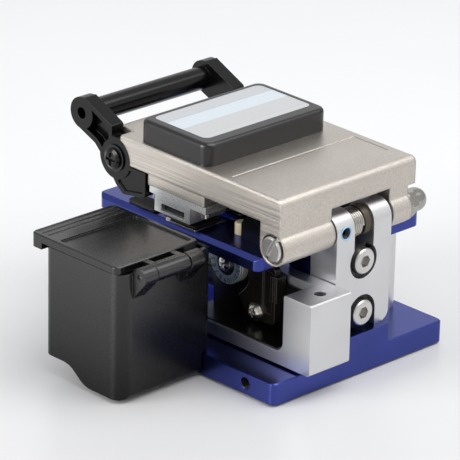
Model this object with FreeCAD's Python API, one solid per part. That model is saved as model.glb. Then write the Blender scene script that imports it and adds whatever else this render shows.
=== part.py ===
import FreeCAD, Part
import math
import os

# A one-action fibre cleaver: a base with a hinge pillar, a spring-lifted press
# lever with a finger bail, a blade carriage on a rail, and a scrap box.
# Millimetres. +X is the scrap-box side, +Y the hinge side, +Z up.
# The origin is the centre of the footprint, on the table.

V = FreeCAD.Vector

# ---- clearances ---------------------------------------------------------------
RUN = 0.05            # radial clearance of every running bore
SIDE_RUN = 0.2        # end float beside a turning part
BODY_GAP = 0.3        # least gap between parts that move apart

# ---- base ---------------------------------------------------------------------
BASE_WIDTH = 63.0
BASE_DEPTH = 65.0
BASE_CORNER_R = 1.6
SHEET_THICK = 0.6
SHEET_INSET = 4.5
PLATE_THICK = 6.0
DECK_HEIGHT = 5.1
DECK_WIDTH = 17.5
DECK_CENTRE_X = -1.55
SIDE_HOLE_R = 1.65
SIDE_HOLE_Y = 22.1
SIDE_HOLE_DEPTH = 8.0

# ---- hinge pillar and hinge ---------------------------------------------------
PILLAR_WIDTH = 20.0
PILLAR_DEPTH = 9.3
PILLAR_CENTRE_X = -2.4
PRONG_WIDTH = 6.45
HINGE_Y = 25.3
HINGE_RISE = 5.5      # hinge axis above the platform top
SPRING_COIL_R = 3.7
SPRING_WIRE_R = 0.34
SPRING_TURNS = 5.5
SLOT_FLOOR_DROP = 6.9  # slot floor below the hinge axis
SHAFT_R = 2.0
SET_R = 1.65
CAP_HEAD_R = 3.5
CAP_HEAD_H = 4.0
CAP_HEAD_PROUD = 0.7
CAP_BORE_R = 4.9
CAP_SHANK_R = 2.0
CAP_LENGTH = 12.0
LOWER_SCREW_RISE = 4.7  # lower screw above the deck
UPPER_SCREW_DROP = 9.4  # upper screw below the hinge axis

# ---- platform -----------------------------------------------------------------
PLATFORM_RISE = 19.3  # underside above the deck
PLATFORM_THICK = 3.8
PLATFORM_RIGHT_X = 24.2
PLATFORM_FRONT_Y = -43.0
PLATFORM_EDGE = 1.2   # bevel along the right-hand top edge
BLOCK_DEPTH = 8.0     # block and column in front of the pillar
BLOCK_HEIGHT = 6.0
POST_R = 4.0

# ---- fibre line ---------------------------------------------------------------
FIBRE_Y = -11.9
FIBRE_RISE = 0.5      # fibre plane above the platform top
CLAMP_RIGHT_X = 12.0  # inner end of the right clamp
CLAMP_RIGHT_END = 25.0
CLAMP_LEFT_X = -5.5
CLAMP_LEFT_END = 7.1

# ---- blade and carriage -------------------------------------------------------
BLADE_R = 10.5
BLADE_THICK = 0.8
BLADE_X = 9.5
BLADE_Y = -2.5
BLADE_DROP = 10.1     # blade axis below the platform top
SLOT_WIDTH = 2.4
TRAVEL = 22.0
AXLE_R = 1.6
DRUM_R = 5.6
DRUM_END_X = 14.9
DIAL_R = 5.7
DIAL_BORE_R = 3.3
RAIL_WIDTH = 7.0
RAIL_HEIGHT = 4.5
RAIL_CENTRE_X = -1.5
TRUCK_WIDTH = 17.0
TRUCK_LENGTH = 18.0
TRUCK_HEIGHT = 7.0
TRUCK_LIFT = 1.2
SADDLE_THICK = 1.5
CARRIAGE_X = 8.0      # inner face of the carriage side web
WEB_THICK = 4.06
UPRIGHT_WIDTH = 14.5
UPRIGHT_REAR_Y = 36.2
UPRIGHT_DEPTH = 9.9
UPRIGHT_TOP = 26.9
ARM_FLOAT = 0.6       # arm above the plate
ARM_THICK = 3.7
ARM_FILLET = 2.8
GUARD_THICK = 2.0
LINER_THICK = 0.8      # black cover on the web, under the guard
LINER_FLOOR = 0.4      # its foot along the arm
TOP_HOLE_R = 1.65
TOP_HOLE_INSET = 4.75

# ---- lever (its own frame: origin on the hinge axis) ----------------------------
LEVER_TILT = 0.6      # degrees, nose up at rest
LEVER_LEFT_X = -23.0
LEVER_RIGHT_X = 26.1
LEVER_TOP = 13.85
LEVER_SKIN = 4.05     # thickness of the top plate
LEVER_WALL = 3.5
LEVER_NOSE = 62.9     # nose in front of the hinge axis
SIDE_BOTTOM = 6.3     # lower edge of the side walls
REAR_FACE = 2.8
REAR_BOTTOM = 7.2     # lower edge of the rear wall between the legs
BARREL_R = 4.9         # pillar crown and prongs
LEVER_BARREL_R = 4.6   # barrels of the two hinge legs
LEG_LEFT_OUT_X = -20.3
LEG_LEFT_IN_X = -13.6
LEG_RIGHT_IN_X = 7.9
BAIL_PIVOT_Y = -60.0
BAIL_PIVOT_Z = 6.6
BAIL_THICK = 4.1
BAIL_HUB_R = 5.9
BAIL_BAR_R = 3.2
BAIL_BOSS_R = 4.4
HUB_RELIEF = 0.4
NOTCH_DEPTH = 4.9     # side notch for a bail arm
NOTCH_REAR = 57.5
PAD_HEIGHT = 6.25
PAD_BEVEL = 1.5
HEAD_R = 3.45
HEAD_BORE_R = 4.0
HEAD_THICK = 3.4
HEAD_PROUD = 0.8      # slotted head stands out of the side face
NUT_AF = 7.0
NUT_HEX_H = 3.2
NUT_DOME_R = 3.25
NUT_H = 8.0

# ---- scrap box ----------------------------------------------------------------
BIN_LEFT_X = 29.0
BIN_RIGHT_X = 60.3
BIN_REAR = 6.1
BIN_FRONT = -23.6
BIN_BOTTOM = 1.1
BIN_TOP = 35.8
BIN_WALL = 1.4
LID_THICK = 2.0
LID_LEFT_X = 31.9
LID_RIGHT_X = 60.6
LID_FRONT = -28.2
LID_REAR = 4.7
LID_AXIS_Y = 8.6
LID_AXIS_Z = 35.6
PIN_R = 0.8

# ---- levels worked out from the sizes above -------------------------------------
PLATE_TOP = SHEET_THICK + PLATE_THICK
DECK_TOP = PLATE_TOP + DECK_HEIGHT
PLATFORM_UNDER = DECK_TOP + PLATFORM_RISE
PLATFORM_TOP = PLATFORM_UNDER + PLATFORM_THICK
HINGE_Z = PLATFORM_TOP + HINGE_RISE
PILLAR_FRONT_Y = HINGE_Y + BARREL_R - PILLAR_DEPTH
PILLAR_REAR_Y = PILLAR_FRONT_Y + PILLAR_DEPTH
PILLAR_LEFT_X = PILLAR_CENTRE_X - PILLAR_WIDTH / 2
PILLAR_RIGHT_X = PILLAR_CENTRE_X + PILLAR_WIDTH / 2
FIBRE_Z = PLATFORM_TOP + FIBRE_RISE
FIBRE_LEVER_Y = FIBRE_Y - HINGE_Y
BLADE_Z = PLATFORM_TOP - BLADE_DROP
TRUCK_BOTTOM = DECK_TOP + TRUCK_LIFT
TRUCK_TOP = TRUCK_BOTTOM + TRUCK_HEIGHT
SADDLE_TOP = TRUCK_TOP + SADDLE_THICK
ARM_BOTTOM = PLATE_TOP + ARM_FLOAT
ARM_TOP = ARM_BOTTOM + ARM_THICK
LEVER_CEILING = LEVER_TOP - LEVER_SKIN
JAW_BOTTOM = SIDE_BOTTOM - 3.5
LID_BOTTOM = BIN_TOP + BODY_GAP
LID_TOP = LID_BOTTOM + LID_THICK


# ---- small helpers --------------------------------------------------------------
def box(x0, x1, y0, y1, z0, z1):
    """Box between two opposite corners."""
    return Part.makeBox(x1 - x0, y1 - y0, z1 - z0, V(x0, y0, z0))


def cyl_x(x0, x1, y, z, r):
    return Part.makeCylinder(r, x1 - x0, V(x0, y, z), V(1, 0, 0))


def cyl_y(y0, y1, x, z, r):
    return Part.makeCylinder(r, y1 - y0, V(x, y0, z), V(0, 1, 0))


def cyl_z(z0, z1, x, y, r):
    return Part.makeCylinder(r, z1 - z0, V(x, y, z0), V(0, 0, 1))


def rounded_face(corners):
    """Face through (point, radius) corners; each radius rounds its corner."""
    count = len(corners)
    starts, ends, arcs = [], [], []
    for i in range(count):
        corner, r = corners[i]
        if r <= 0:
            starts.append(corner)
            ends.append(corner)
            arcs.append(None)
            continue
        back = corners[i - 1][0] - corner
        ahead = corners[(i + 1) % count][0] - corner
        back.normalize()
        ahead.normalize()
        half = back.getAngle(ahead) / 2
        reach = r / math.tan(half)
        middle = back + ahead
        middle.normalize()
        start = corner + back * reach
        end = corner + ahead * reach
        top = corner + middle * (r / math.sin(half) - r)
        starts.append(start)
        ends.append(end)
        arcs.append(Part.Arc(start, top, end).toShape())
    edges = []
    for i in range(count):
        if arcs[i] is not None:
            edges.append(arcs[i])
        a = ends[i]
        b = starts[(i + 1) % count]
        if a.distanceToPoint(b) > 1e-6:
            edges.append(Part.makeLine(a, b))
    return Part.Face(Part.Wire(edges))


def drawn_out(face, along):
    """Extruded solid with its faces turned outwards."""
    solid = face.extrude(along)
    if solid.Volume < 0:
        solid.reverse()
    return solid


def prism_x(points, x0, x1):
    """Solid from (y, z, corner radius) points, drawn out along X."""
    face = rounded_face([(V(x0, y, z), r) for y, z, r in points])
    return drawn_out(face, V(x1 - x0, 0, 0))


def prism_z(points, z0, z1):
    """Solid from (x, y, corner radius) points, drawn out along Z."""
    face = rounded_face([(V(x, y, z0), r) for x, y, r in points])
    return drawn_out(face, V(0, 0, z1 - z0))


def prism_y(points, y0, y1):
    """Solid from (x, z, corner radius) points, drawn out along Y."""
    face = rounded_face([(V(x, y0, z), r) for x, z, r in points])
    return drawn_out(face, V(0, y1 - y0, 0))


def inset(points, d):
    """Move every side of a closed (a, b, radius) outline inwards by d."""
    count = len(points)
    area = sum(points[i - 1][0] * points[i][1] - points[i][0] * points[i - 1][1]
               for i in range(count))
    side = 1.0 if area > 0 else -1.0
    moved = []
    for i in range(count):
        a, b, r = points[i]
        pa, pb, _ = points[i - 1]
        na, nb, _ = points[(i + 1) % count]
        l1 = math.hypot(a - pa, b - pb)
        l2 = math.hypot(na - a, nb - b)
        n1 = (-(b - pb) / l1 * side, (a - pa) / l1 * side)
        n2 = (-(nb - b) / l2 * side, (na - a) / l2 * side)
        scale = d / (1 + n1[0] * n2[0] + n1[1] * n2[1])
        cross = (a - pa) * (nb - b) - (b - pb) * (na - a)
        convex = cross * side > 0
        new_r = max(r - d, 0.0) if convex else (r + d if r > 0 else 0.0)
        moved.append((a + (n1[0] + n2[0]) * scale, b + (n1[1] + n2[1]) * scale, new_r))
    return moved


def block(x0, x1, y0, y1, z0, z1, r):
    """Upright block with four rounded corners."""
    return prism_z([(x0, y0, r), (x1, y0, r), (x1, y1, r), (x0, y1, r)], z0, z1)


def spin_x(points, y, z):
    """Turned part from an (x, radius) outline, about an X line at (y, z)."""
    wire = Part.makePolygon([V(x, r, 0) for x, r in points + points[:1]])
    solid = Part.Face(wire).revolve(V(0, 0, 0), V(1, 0, 0), 360)
    solid.translate(V(0, y, z))
    return solid


def hexagon(across, x0, x1, y, z):
    """Hexagonal bar along X."""
    r = across / math.sqrt(3)
    pts = [V(x0, y + r * math.cos(math.radians(60 * k)),
             z + r * math.sin(math.radians(60 * k))) for k in range(7)]
    return drawn_out(Part.Face(Part.makePolygon(pts)), V(x1 - x0, 0, 0))


def edges_where(shape, test):
    """Edges whose two ends and middle all pass the test."""
    found = []
    for edge in shape.Edges:
        first, last = edge.ParameterRange
        points = [edge.valueAt(first), edge.valueAt(last),
                  edge.valueAt((first + last) / 2)]
        if all(test(p) for p in points):
            found.append(edge)
    return found


def near(a, b):
    return abs(a - b) < 1e-4


def place(shape):
    """Put a part drawn in the lever frame where the closed lever holds it."""
    shape = shape.copy()
    shape.rotate(V(0, 0, 0), V(1, 0, 0), -LEVER_TILT)
    shape.translate(V(0, HINGE_Y, HINGE_Z))
    return shape


def group(shapes):
    return Part.makeCompound(shapes)


# ---- screws ---------------------------------------------------------------------
def socket_screw(x, y_face, z, length, shank_r, head_r, head_h, key):
    """Cap screw along Y, head face at y_face and pointing to +Y."""
    head = cyl_y(y_face - head_h, y_face, x, z, head_r)
    rim = edges_where(head, lambda p: near(p.y, y_face))
    head = head.makeChamfer(0.3, rim)
    key_bar = hexagon(key, 0, head_h * 0.55, 0, 0)
    key_bar.rotate(V(0, 0, 0), V(0, 0, 1), -90)
    key_bar.translate(V(x, y_face, z))
    shank = cyl_y(y_face - head_h - length, y_face - head_h, x, z, shank_r)
    return head.cut(key_bar).fuse(shank).removeSplitter()


def flat_screw_z(x, y, z_top, length, shank_r, head_r):
    """Countersunk screw pointing down, head flush at z_top."""
    rise = head_r - shank_r
    cone = Part.makeCone(shank_r, head_r, rise, V(x, y, z_top - rise), V(0, 0, 1))
    shank = cyl_z(z_top - length, z_top - rise, x, y, shank_r)
    slot = box(x - head_r, x + head_r, y - 0.4, y + 0.4, z_top - 0.7, z_top + 1)
    return cone.fuse(shank).cut(slot).removeSplitter()


def pan_screw_x(x_seat, y, z, length, shank_r, head_r, head_h, sign):
    """Cross-head pan screw along X; the head stands to +X when sign is 1."""
    outline = [(0, 0), (0, head_r), (head_h * 0.45, head_r),
               (head_h * 0.85, head_r * 0.72), (head_h, head_r * 0.35), (head_h, 0)]
    head = spin_x(outline, 0, 0)
    arm = head_r * 0.62
    wide = head_r * 0.14
    deep = head_h * 0.45
    for y_half, z_half in ((arm, wide), (wide, arm)):
        head = head.cut(box(head_h - deep, head_h + 1, -y_half, y_half, -z_half, z_half))
    screw = head.fuse(cyl_x(-length, 0, 0, 0, shank_r)).removeSplitter()
    if sign < 0:
        screw.rotate(V(0, 0, 0), V(0, 0, 1), 180)
    screw.translate(V(x_seat, y, z))
    return screw


def ring_x(x0, x1, y, z, r, bore):
    return cyl_x(x0, x1, y, z, r).cut(cyl_x(x0 - 1, x1 + 1, y, z, bore))


# ---- base -----------------------------------------------------------------------
def base_outline(d):
    hx = BASE_WIDTH / 2 - d
    hy = BASE_DEPTH / 2 - d
    return -hx, hx, -hy, hy


def dowel_places():
    return [(BIN_REAR - 3.1, BIN_BOTTOM + 3.3), (BIN_REAR - 10.1, BIN_BOTTOM + 3.3)]


def base_plate():
    x0, x1, y0, y1 = base_outline(0)
    plate = block(x0, x1, y0, y1, SHEET_THICK, PLATE_TOP, BASE_CORNER_R)
    top = edges_where(plate, lambda p: near(p.z, PLATE_TOP))
    plate = plate.makeChamfer(0.35, top)
    deck_x0 = DECK_CENTRE_X - DECK_WIDTH / 2
    deck = box(deck_x0, deck_x0 + DECK_WIDTH, y0 + 1.5, y1, PLATE_TOP - 1, DECK_TOP)
    plate = plate.fuse(deck)
    plate = plate.cut(cyl_x(x1 - SIDE_HOLE_DEPTH, x1 + 1, SIDE_HOLE_Y,
                            SHEET_THICK + PLATE_THICK / 2, SIDE_HOLE_R))
    for y, z in dowel_places():
        plate = plate.cut(cyl_x(x1 - 5, x1 + 1, y, z, 1.0))
    for y in rail_screw_places():
        plate = plate.cut(cyl_z(DECK_TOP - 5, DECK_TOP + 1, RAIL_CENTRE_X, y, 1.25))
    for x, y in post_places():
        plate = plate.cut(cyl_z(PLATE_TOP - 4, PLATE_TOP + 1, x, y, 2.0))
    column = box(PILLAR_LEFT_X + 3, PILLAR_RIGHT_X - 3, PILLAR_FRONT_Y - BLOCK_DEPTH + 1,
                 PILLAR_FRONT_Y - 1, DECK_TOP - 0.8, DECK_TOP + 1)
    return plate.cut(column).removeSplitter()


def non_slip_sheet():
    x0, x1, y0, y1 = base_outline(SHEET_INSET)
    return block(x0, x1, y0, y1, 0, SHEET_THICK, BASE_CORNER_R)


def bin_dowels():
    x1 = BASE_WIDTH / 2
    end = x1 + BODY_GAP + BIN_WALL + 0.6
    return group([cyl_x(x1 - 5, end, y, z, 1.0) for y, z in dowel_places()])


def support_column():
    """Block under the platform, keyed 0.8 into the deck; takes the lower screw."""
    top = PLATFORM_UNDER - BLOCK_HEIGHT
    y0 = PILLAR_FRONT_Y - BLOCK_DEPTH
    body = box(PILLAR_LEFT_X, PILLAR_RIGHT_X - 0.2, y0, PILLAR_FRONT_Y, DECK_TOP, top)
    foot = box(PILLAR_LEFT_X + 3, PILLAR_RIGHT_X - 3, y0 + 1, PILLAR_FRONT_Y - 1,
               DECK_TOP - 0.8, DECK_TOP)
    z = DECK_TOP + LOWER_SCREW_RISE
    bore = cyl_y(screw_tip_y(), PILLAR_FRONT_Y + 1, PILLAR_CENTRE_X, z, CAP_SHANK_R)
    return body.fuse(foot).cut(bore).removeSplitter()


def screw_tip_y():
    return PILLAR_REAR_Y + CAP_HEAD_PROUD - CAP_HEAD_H - CAP_LENGTH


def hinge_pillar():
    """Forked pillar: two round-topped prongs carry the hinge shaft."""
    x0, x1 = PILLAR_LEFT_X, PILLAR_RIGHT_X
    outline = [(x0, DECK_TOP, 3.2), (x1, DECK_TOP, 0), (x1, HINGE_Z, 0), (x0, HINGE_Z, 0)]
    body = prism_y(outline, PILLAR_FRONT_Y, PILLAR_REAR_Y)
    crown = cyl_x(x0, x1, HINGE_Y, HINGE_Z, BARREL_R)
    crown = crown.common(box(x0, x1, PILLAR_FRONT_Y, PILLAR_REAR_Y + 1,
                             HINGE_Z - 1, HINGE_Z + BARREL_R))
    body = body.fuse(crown)
    slot = box(x0 + PRONG_WIDTH, x1 - PRONG_WIDTH, PILLAR_FRONT_Y - 1, PILLAR_REAR_Y + 1,
               HINGE_Z - SLOT_FLOOR_DROP, HINGE_Z + BARREL_R + 1)
    body = body.cut(slot)
    body = body.cut(cyl_x(x0 - 1, x1 + 1, HINGE_Y, HINGE_Z, SHAFT_R))
    seat_y = PILLAR_REAR_Y + CAP_HEAD_PROUD - CAP_HEAD_H
    for z in screw_heights():
        body = body.cut(cyl_y(seat_y, PILLAR_REAR_Y + 1, PILLAR_CENTRE_X, z, CAP_BORE_R))
        body = body.cut(cyl_y(PILLAR_FRONT_Y - 1, seat_y + 1, PILLAR_CENTRE_X, z, CAP_SHANK_R + 0.15))
    lower = screw_heights()[0]
    body = body.cut(box(PILLAR_CENTRE_X - CAP_BORE_R, PILLAR_CENTRE_X + CAP_BORE_R,
                        seat_y, PILLAR_REAR_Y + 1, DECK_TOP - 1, lower))
    set_y = HINGE_Y + SHAFT_R - 0.3
    body = body.cut(cyl_y(set_y, PILLAR_REAR_Y + 1, set_screw_x(), HINGE_Z, SET_R))
    return body.removeSplitter()


def screw_heights():
    return DECK_TOP + LOWER_SCREW_RISE, HINGE_Z - UPPER_SCREW_DROP


def set_screw_x():
    return PILLAR_RIGHT_X - PRONG_WIDTH / 2


def pillar_screws():
    face = PILLAR_REAR_Y + CAP_HEAD_PROUD
    return group([socket_screw(PILLAR_CENTRE_X, face, z, CAP_LENGTH, CAP_SHANK_R,
                               CAP_HEAD_R, CAP_HEAD_H, 3.0) for z in screw_heights()])


def screw_cups():
    """Black cup washers that fill the counterbores round the cap screw heads."""
    seat_y = PILLAR_REAR_Y + CAP_HEAD_PROUD - CAP_HEAD_H
    outer, inner = CAP_BORE_R - 0.1, CAP_HEAD_R + 0.15
    cups = []
    for z in screw_heights():
        cup = cyl_y(seat_y, seat_y + 2.2, PILLAR_CENTRE_X, z, outer)
        cups.append(cup.cut(cyl_y(seat_y - 1, seat_y + 3, PILLAR_CENTRE_X, z, inner)))
    keep = box(PILLAR_LEFT_X, PILLAR_RIGHT_X, seat_y - 1, seat_y + 3, DECK_TOP,
               HINGE_Z - SLOT_FLOOR_DROP)
    return group([cup.common(keep) for cup in cups])


def pillar_set_screw():
    """Headless screw that locks the hinge shaft in the right prong."""
    y0 = HINGE_Y + SHAFT_R
    y1 = PILLAR_REAR_Y - 0.9
    body = cyl_y(y0, y1, set_screw_x(), HINGE_Z, SET_R)
    key = hexagon(1.5, 0, 1.4, 0, 0)
    key.rotate(V(0, 0, 0), V(0, 0, 1), -90)
    key.translate(V(set_screw_x(), y1, HINGE_Z))
    return body.cut(key)


# ---- hinge ----------------------------------------------------------------------
def head_seat_x():
    return LEVER_RIGHT_X + HEAD_PROUD - HEAD_THICK


def hinge_screw():
    seat = head_seat_x()
    face = seat + HEAD_THICK
    tip = LEG_LEFT_OUT_X - SIDE_RUN - 0.8 - NUT_H + 1.8
    outline = [(tip, 0), (tip, SHAFT_R), (seat, SHAFT_R), (seat, HEAD_R),
               (face - 0.4, HEAD_R), (face, HEAD_R - 0.4), (face, 0)]
    screw = spin_x(outline, HINGE_Y, HINGE_Z)
    slot = box(face - 1.3, face + 1, -5, 5, -0.6, 0.6)
    slot.rotate(V(0, 0, 0), V(1, 0, 0), 62)
    slot.translate(V(0, HINGE_Y, HINGE_Z))
    return screw.cut(slot)


def hinge_washer():
    x1 = LEG_LEFT_OUT_X - SIDE_RUN
    return ring_x(x1 - 0.8, x1, HINGE_Y, HINGE_Z, 4.5, SHAFT_R + 0.1)


def acorn_nut():
    x1 = LEG_LEFT_OUT_X - SIDE_RUN - 0.8
    hexa = hexagon(NUT_AF, x1 - NUT_HEX_H, x1, HINGE_Y, HINGE_Z)
    cone = Part.makeCone(NUT_AF / 2 - 0.35, NUT_AF / 2 + NUT_HEX_H * 1.7, NUT_HEX_H * 1.7 + 0.35,
                         V(x1 - NUT_HEX_H - 0.0, HINGE_Y, HINGE_Z), V(1, 0, 0))
    hexa = hexa.common(cone)
    neck = cyl_x(x1 - NUT_H + NUT_DOME_R, x1 - NUT_HEX_H + 0.5, HINGE_Y, HINGE_Z, NUT_DOME_R)
    dome = Part.makeSphere(NUT_DOME_R, V(x1 - NUT_H + NUT_DOME_R, HINGE_Y, HINGE_Z))
    nut = hexa.fuse(neck).fuse(dome)
    bore = cyl_x(x1 - NUT_H + 1.8, x1 + 1, HINGE_Y, HINGE_Z, SHAFT_R)
    return nut.cut(bore).removeSplitter()


def hinge_spring():
    """Coil round the hinge shaft, built from straight facets of a six-sided wire."""
    x0 = PILLAR_LEFT_X + PRONG_WIDTH + 2.5
    x1 = PILLAR_RIGHT_X - PRONG_WIDTH - 0.1
    steps_per_turn, sides = 20, 6
    run = x1 - x0 - 2 * SPRING_WIRE_R
    count = int(SPRING_TURNS * steps_per_turn)
    rings = []
    for i in range(count + 1):
        turn = 2 * math.pi * i / steps_per_turn
        x = x0 + SPRING_WIRE_R + run * i / count
        ring = []
        for k in range(sides):
            around = 2 * math.pi * k / sides
            r = SPRING_COIL_R + SPRING_WIRE_R * math.cos(around)
            ring.append(V(x + SPRING_WIRE_R * math.sin(around), HINGE_Y + r * math.cos(turn),
                          HINGE_Z + r * math.sin(turn)))
        rings.append(ring)
    faces = []
    for i in range(count):
        for k in range(sides):
            a, b = rings[i][k], rings[i][(k + 1) % sides]
            c, d = rings[i + 1][(k + 1) % sides], rings[i + 1][k]
            faces.append(Part.Face(Part.makePolygon([a, b, c, a])))
            faces.append(Part.Face(Part.makePolygon([a, c, d, a])))
    faces.append(Part.Face(Part.makePolygon(rings[0] + rings[0][:1])))
    faces.append(Part.Face(Part.makePolygon(rings[-1] + rings[-1][:1])))
    coil = Part.makeSolid(Part.makeShell(faces))
    if coil.Volume < 0:
        coil.reverse()
    return coil


def spring_bush():
    x0 = PILLAR_LEFT_X + PRONG_WIDTH + 0.1
    return ring_x(x0, x0 + 2.3, HINGE_Y, HINGE_Z, 4.2, SHAFT_R)


# ---- platform -------------------------------------------------------------------
def post_places():
    x = -BASE_WIDTH / 2 + 5.5
    return [(x, -BASE_DEPTH / 2 + 4.5), (x, BASE_DEPTH / 2 - 18.5)]


def seat_spans():
    """X ranges of the two lower clamp seats in the platform top."""
    return (CLAMP_RIGHT_X, PLATFORM_RIGHT_X - 0.9), (CLAMP_LEFT_X + 0.5, CLAMP_LEFT_END - 0.1)


def platform():
    left = -BASE_WIDTH / 2
    right = PLATFORM_RIGHT_X
    rear_left = PILLAR_FRONT_Y + 2.0
    rear_right = PILLAR_FRONT_Y - 2.6
    notch_left = PILLAR_LEFT_X - 0.3
    outline = [(left, PLATFORM_FRONT_Y, 2.5), (right, PLATFORM_FRONT_Y, 2.5),
               (right, rear_right, 2.2), (PILLAR_RIGHT_X, rear_right, 0),
               (PILLAR_RIGHT_X, PILLAR_FRONT_Y, 0), (notch_left, PILLAR_FRONT_Y, 0),
               (notch_left, rear_left, 0), (left, rear_left, 2.5)]
    plate = prism_z(outline, PLATFORM_UNDER, PLATFORM_TOP)
    bevel = prism_y([(right - PLATFORM_EDGE, PLATFORM_TOP, 0), (right + 1, PLATFORM_TOP, 0),
                     (right + 1, PLATFORM_TOP - PLATFORM_EDGE - 1, 0)],
                    PLATFORM_FRONT_Y - 1, rear_right + 1)
    plate = plate.cut(bevel)
    lug = box(PILLAR_LEFT_X, PILLAR_RIGHT_X - 0.2, PILLAR_FRONT_Y - BLOCK_DEPTH,
              PILLAR_FRONT_Y, PLATFORM_UNDER - BLOCK_HEIGHT, PLATFORM_UNDER)
    plate = plate.fuse(lug)
    plate = plate.cut(cyl_y(screw_tip_y(), PILLAR_FRONT_Y + 1, PILLAR_CENTRE_X,
                            screw_heights()[1], CAP_SHANK_R))
    half = SLOT_WIDTH / 2
    slot_y0 = BLADE_Y - BLADE_R - TRAVEL - 0.6
    plate = plate.cut(block(BLADE_X - half, BLADE_X + half, slot_y0, BLADE_Y + BLADE_R + 0.6,
                            PLATFORM_UNDER - 1, PLATFORM_TOP + 1, half - 0.05))
    for x0, x1 in seat_spans():
        plate = plate.cut(block(x0, x1, FIBRE_Y - 6, FIBRE_Y + 6,
                                PLATFORM_TOP - 1.5, PLATFORM_TOP + 1, 1.0))
    for x, y in post_places():
        rise = 1.9
        plate = plate.cut(cyl_z(PLATFORM_UNDER - 1, PLATFORM_TOP + 1, x, y, 2.0))
        plate = plate.cut(Part.makeCone(2.0, 2.0 + rise, rise,
                                        V(x, y, PLATFORM_TOP - rise), V(0, 0, 1)))
    return plate.removeSplitter()


def platform_posts():
    posts = []
    for x, y in post_places():
        post = cyl_z(PLATE_TOP, PLATFORM_UNDER, x, y, POST_R)
        post = post.fuse(cyl_z(PLATE_TOP - 4, PLATE_TOP, x, y, 2.0))
        posts.append(post.cut(cyl_z(PLATFORM_UNDER - 7, PLATFORM_UNDER + 1, x, y, 2.0)))
    return group(posts)


def platform_screws():
    return group([flat_screw_z(x, y, PLATFORM_TOP, 10.0, 2.0, 3.9) for x, y in post_places()])


def lower_clamp_seats():
    """Steel trays let into the platform, one each side of the blade slot."""
    trays = []
    for x0, x1 in seat_spans():
        tray = block(x0, x1, FIBRE_Y - 6, FIBRE_Y + 6, PLATFORM_TOP - 1.5, PLATFORM_TOP + 0.1, 1.0)
        trays.append(tray.cut(box(x0 + 1, x1 - 1, FIBRE_Y - 4.6, FIBRE_Y + 4.6,
                                  PLATFORM_TOP - 1.0, PLATFORM_TOP + 1)))
    return group(trays)


def lower_pads():
    pads = []
    for x0, x1 in seat_spans():
        pads.append(box(x0 + 1, x1 - 1, FIBRE_Y - 4.6, FIBRE_Y + 4.6,
                        PLATFORM_TOP - 1.0, FIBRE_Z))
    return group(pads)


def fibre_guide():
    """Grooved bar that holds the incoming fibre on the left of the clamps."""
    x0 = -BASE_WIDTH / 2 + 1.2
    x1 = CLAMP_LEFT_X - 3.5
    top = FIBRE_Z + 2.4
    bar = block(x0, x1, FIBRE_Y - 5.2, FIBRE_Y + 5.2, PLATFORM_TOP, top, 1.0)
    groove = prism_x([(FIBRE_Y, FIBRE_Z - 0.05, 0), (FIBRE_Y + 2.0, top + 0.2, 0),
                      (FIBRE_Y - 2.0, top + 0.2, 0)], x0 - 1, x1 + 1)
    bar = bar.cut(groove)
    for x in guide_screw_xs():
        bar = bar.cut(cyl_z(PLATFORM_TOP - 1, top + 1, x, FIBRE_Y + 3.5, 0.8))
    return bar


def guide_screw_xs():
    return -BASE_WIDTH / 2 + 4.5, CLAMP_LEFT_X - 7.0


def guide_screws():
    top = FIBRE_Z + 2.4
    screws = []
    for x in guide_screw_xs():
        head = cyl_z(top, top + 0.9, x, FIBRE_Y + 3.5, 1.5)
        slot = box(x - 2, x + 2, FIBRE_Y + 3.25, FIBRE_Y + 3.75, top + 0.5, top + 2)
        screws.append(head.cut(slot).fuse(cyl_z(PLATFORM_TOP, top, x, FIBRE_Y + 3.5, 0.8)))
    return group(screws)


def nylon_bumper():
    x, y = CLAMP_RIGHT_X + 3.0, HINGE_Y - 22.6
    stud = cyl_z(PLATFORM_TOP, PLATFORM_TOP + 3.3, x, y, 1.8)
    rim = edges_where(stud, lambda p: near(p.z, PLATFORM_TOP + 3.3))
    return stud.makeFillet(0.5, rim)


def inner_cover():
    """Black moulded cover on the platform behind the clamps, under the lever."""
    x1 = PILLAR_RIGHT_X + 10.0
    y1 = PILLAR_FRONT_Y - 3.2
    top = HINGE_Z + 3.6
    cover = prism_x([(y1 - 12.5, PLATFORM_TOP, 0), (y1, PLATFORM_TOP, 0), (y1, top, 1.0),
                     (y1 - 8.5, top, 2.0), (y1 - 12.5, PLATFORM_TOP + 4.5, 1.5)],
                    PILLAR_LEFT_X, x1)
    pocket = box(PILLAR_LEFT_X + 1.2, x1 - 1.2, y1 - 9.0, y1 - 1.2, PLATFORM_TOP - 1, top - 1.2)
    return cover.cut(pocket)


def bail_rest():
    x1 = PLATFORM_RIGHT_X - PLATFORM_EDGE - 0.5
    return block(x1 - 5, x1, -33, -22.5, PLATFORM_TOP, PLATFORM_TOP + 0.8, 1.0)


# ---- rail and carriage ----------------------------------------------------------
def rail_profile(grow):
    """Rail section (x, z): a head over a narrower waist, grown by a clearance."""
    c = RAIL_CENTRE_X
    half = RAIL_WIDTH / 2 + grow
    waist = RAIL_WIDTH / 2 - 1.0 + grow
    top = DECK_TOP + RAIL_HEIGHT + grow
    low = DECK_TOP + RAIL_HEIGHT * 0.55 - grow
    under = DECK_TOP - (1 if grow > 0 else 0)
    return [(c - waist, under, 0), (c + waist, under, 0), (c + waist, low - 0.8, 0),
            (c + half, low + 0.2, 0), (c + half, top, 0), (c - half, top, 0),
            (c - half, low + 0.2, 0), (c - waist, low - 0.8, 0)]


def rail_y_span():
    rear = PILLAR_FRONT_Y - BLOCK_DEPTH - 1.4
    return -BASE_DEPTH / 2 + 2.0, rear


def rail_screw_places():
    y0, y1 = rail_y_span()
    return y0 + 4.5, (y0 + y1) / 2, y1 - 4.5


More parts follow.
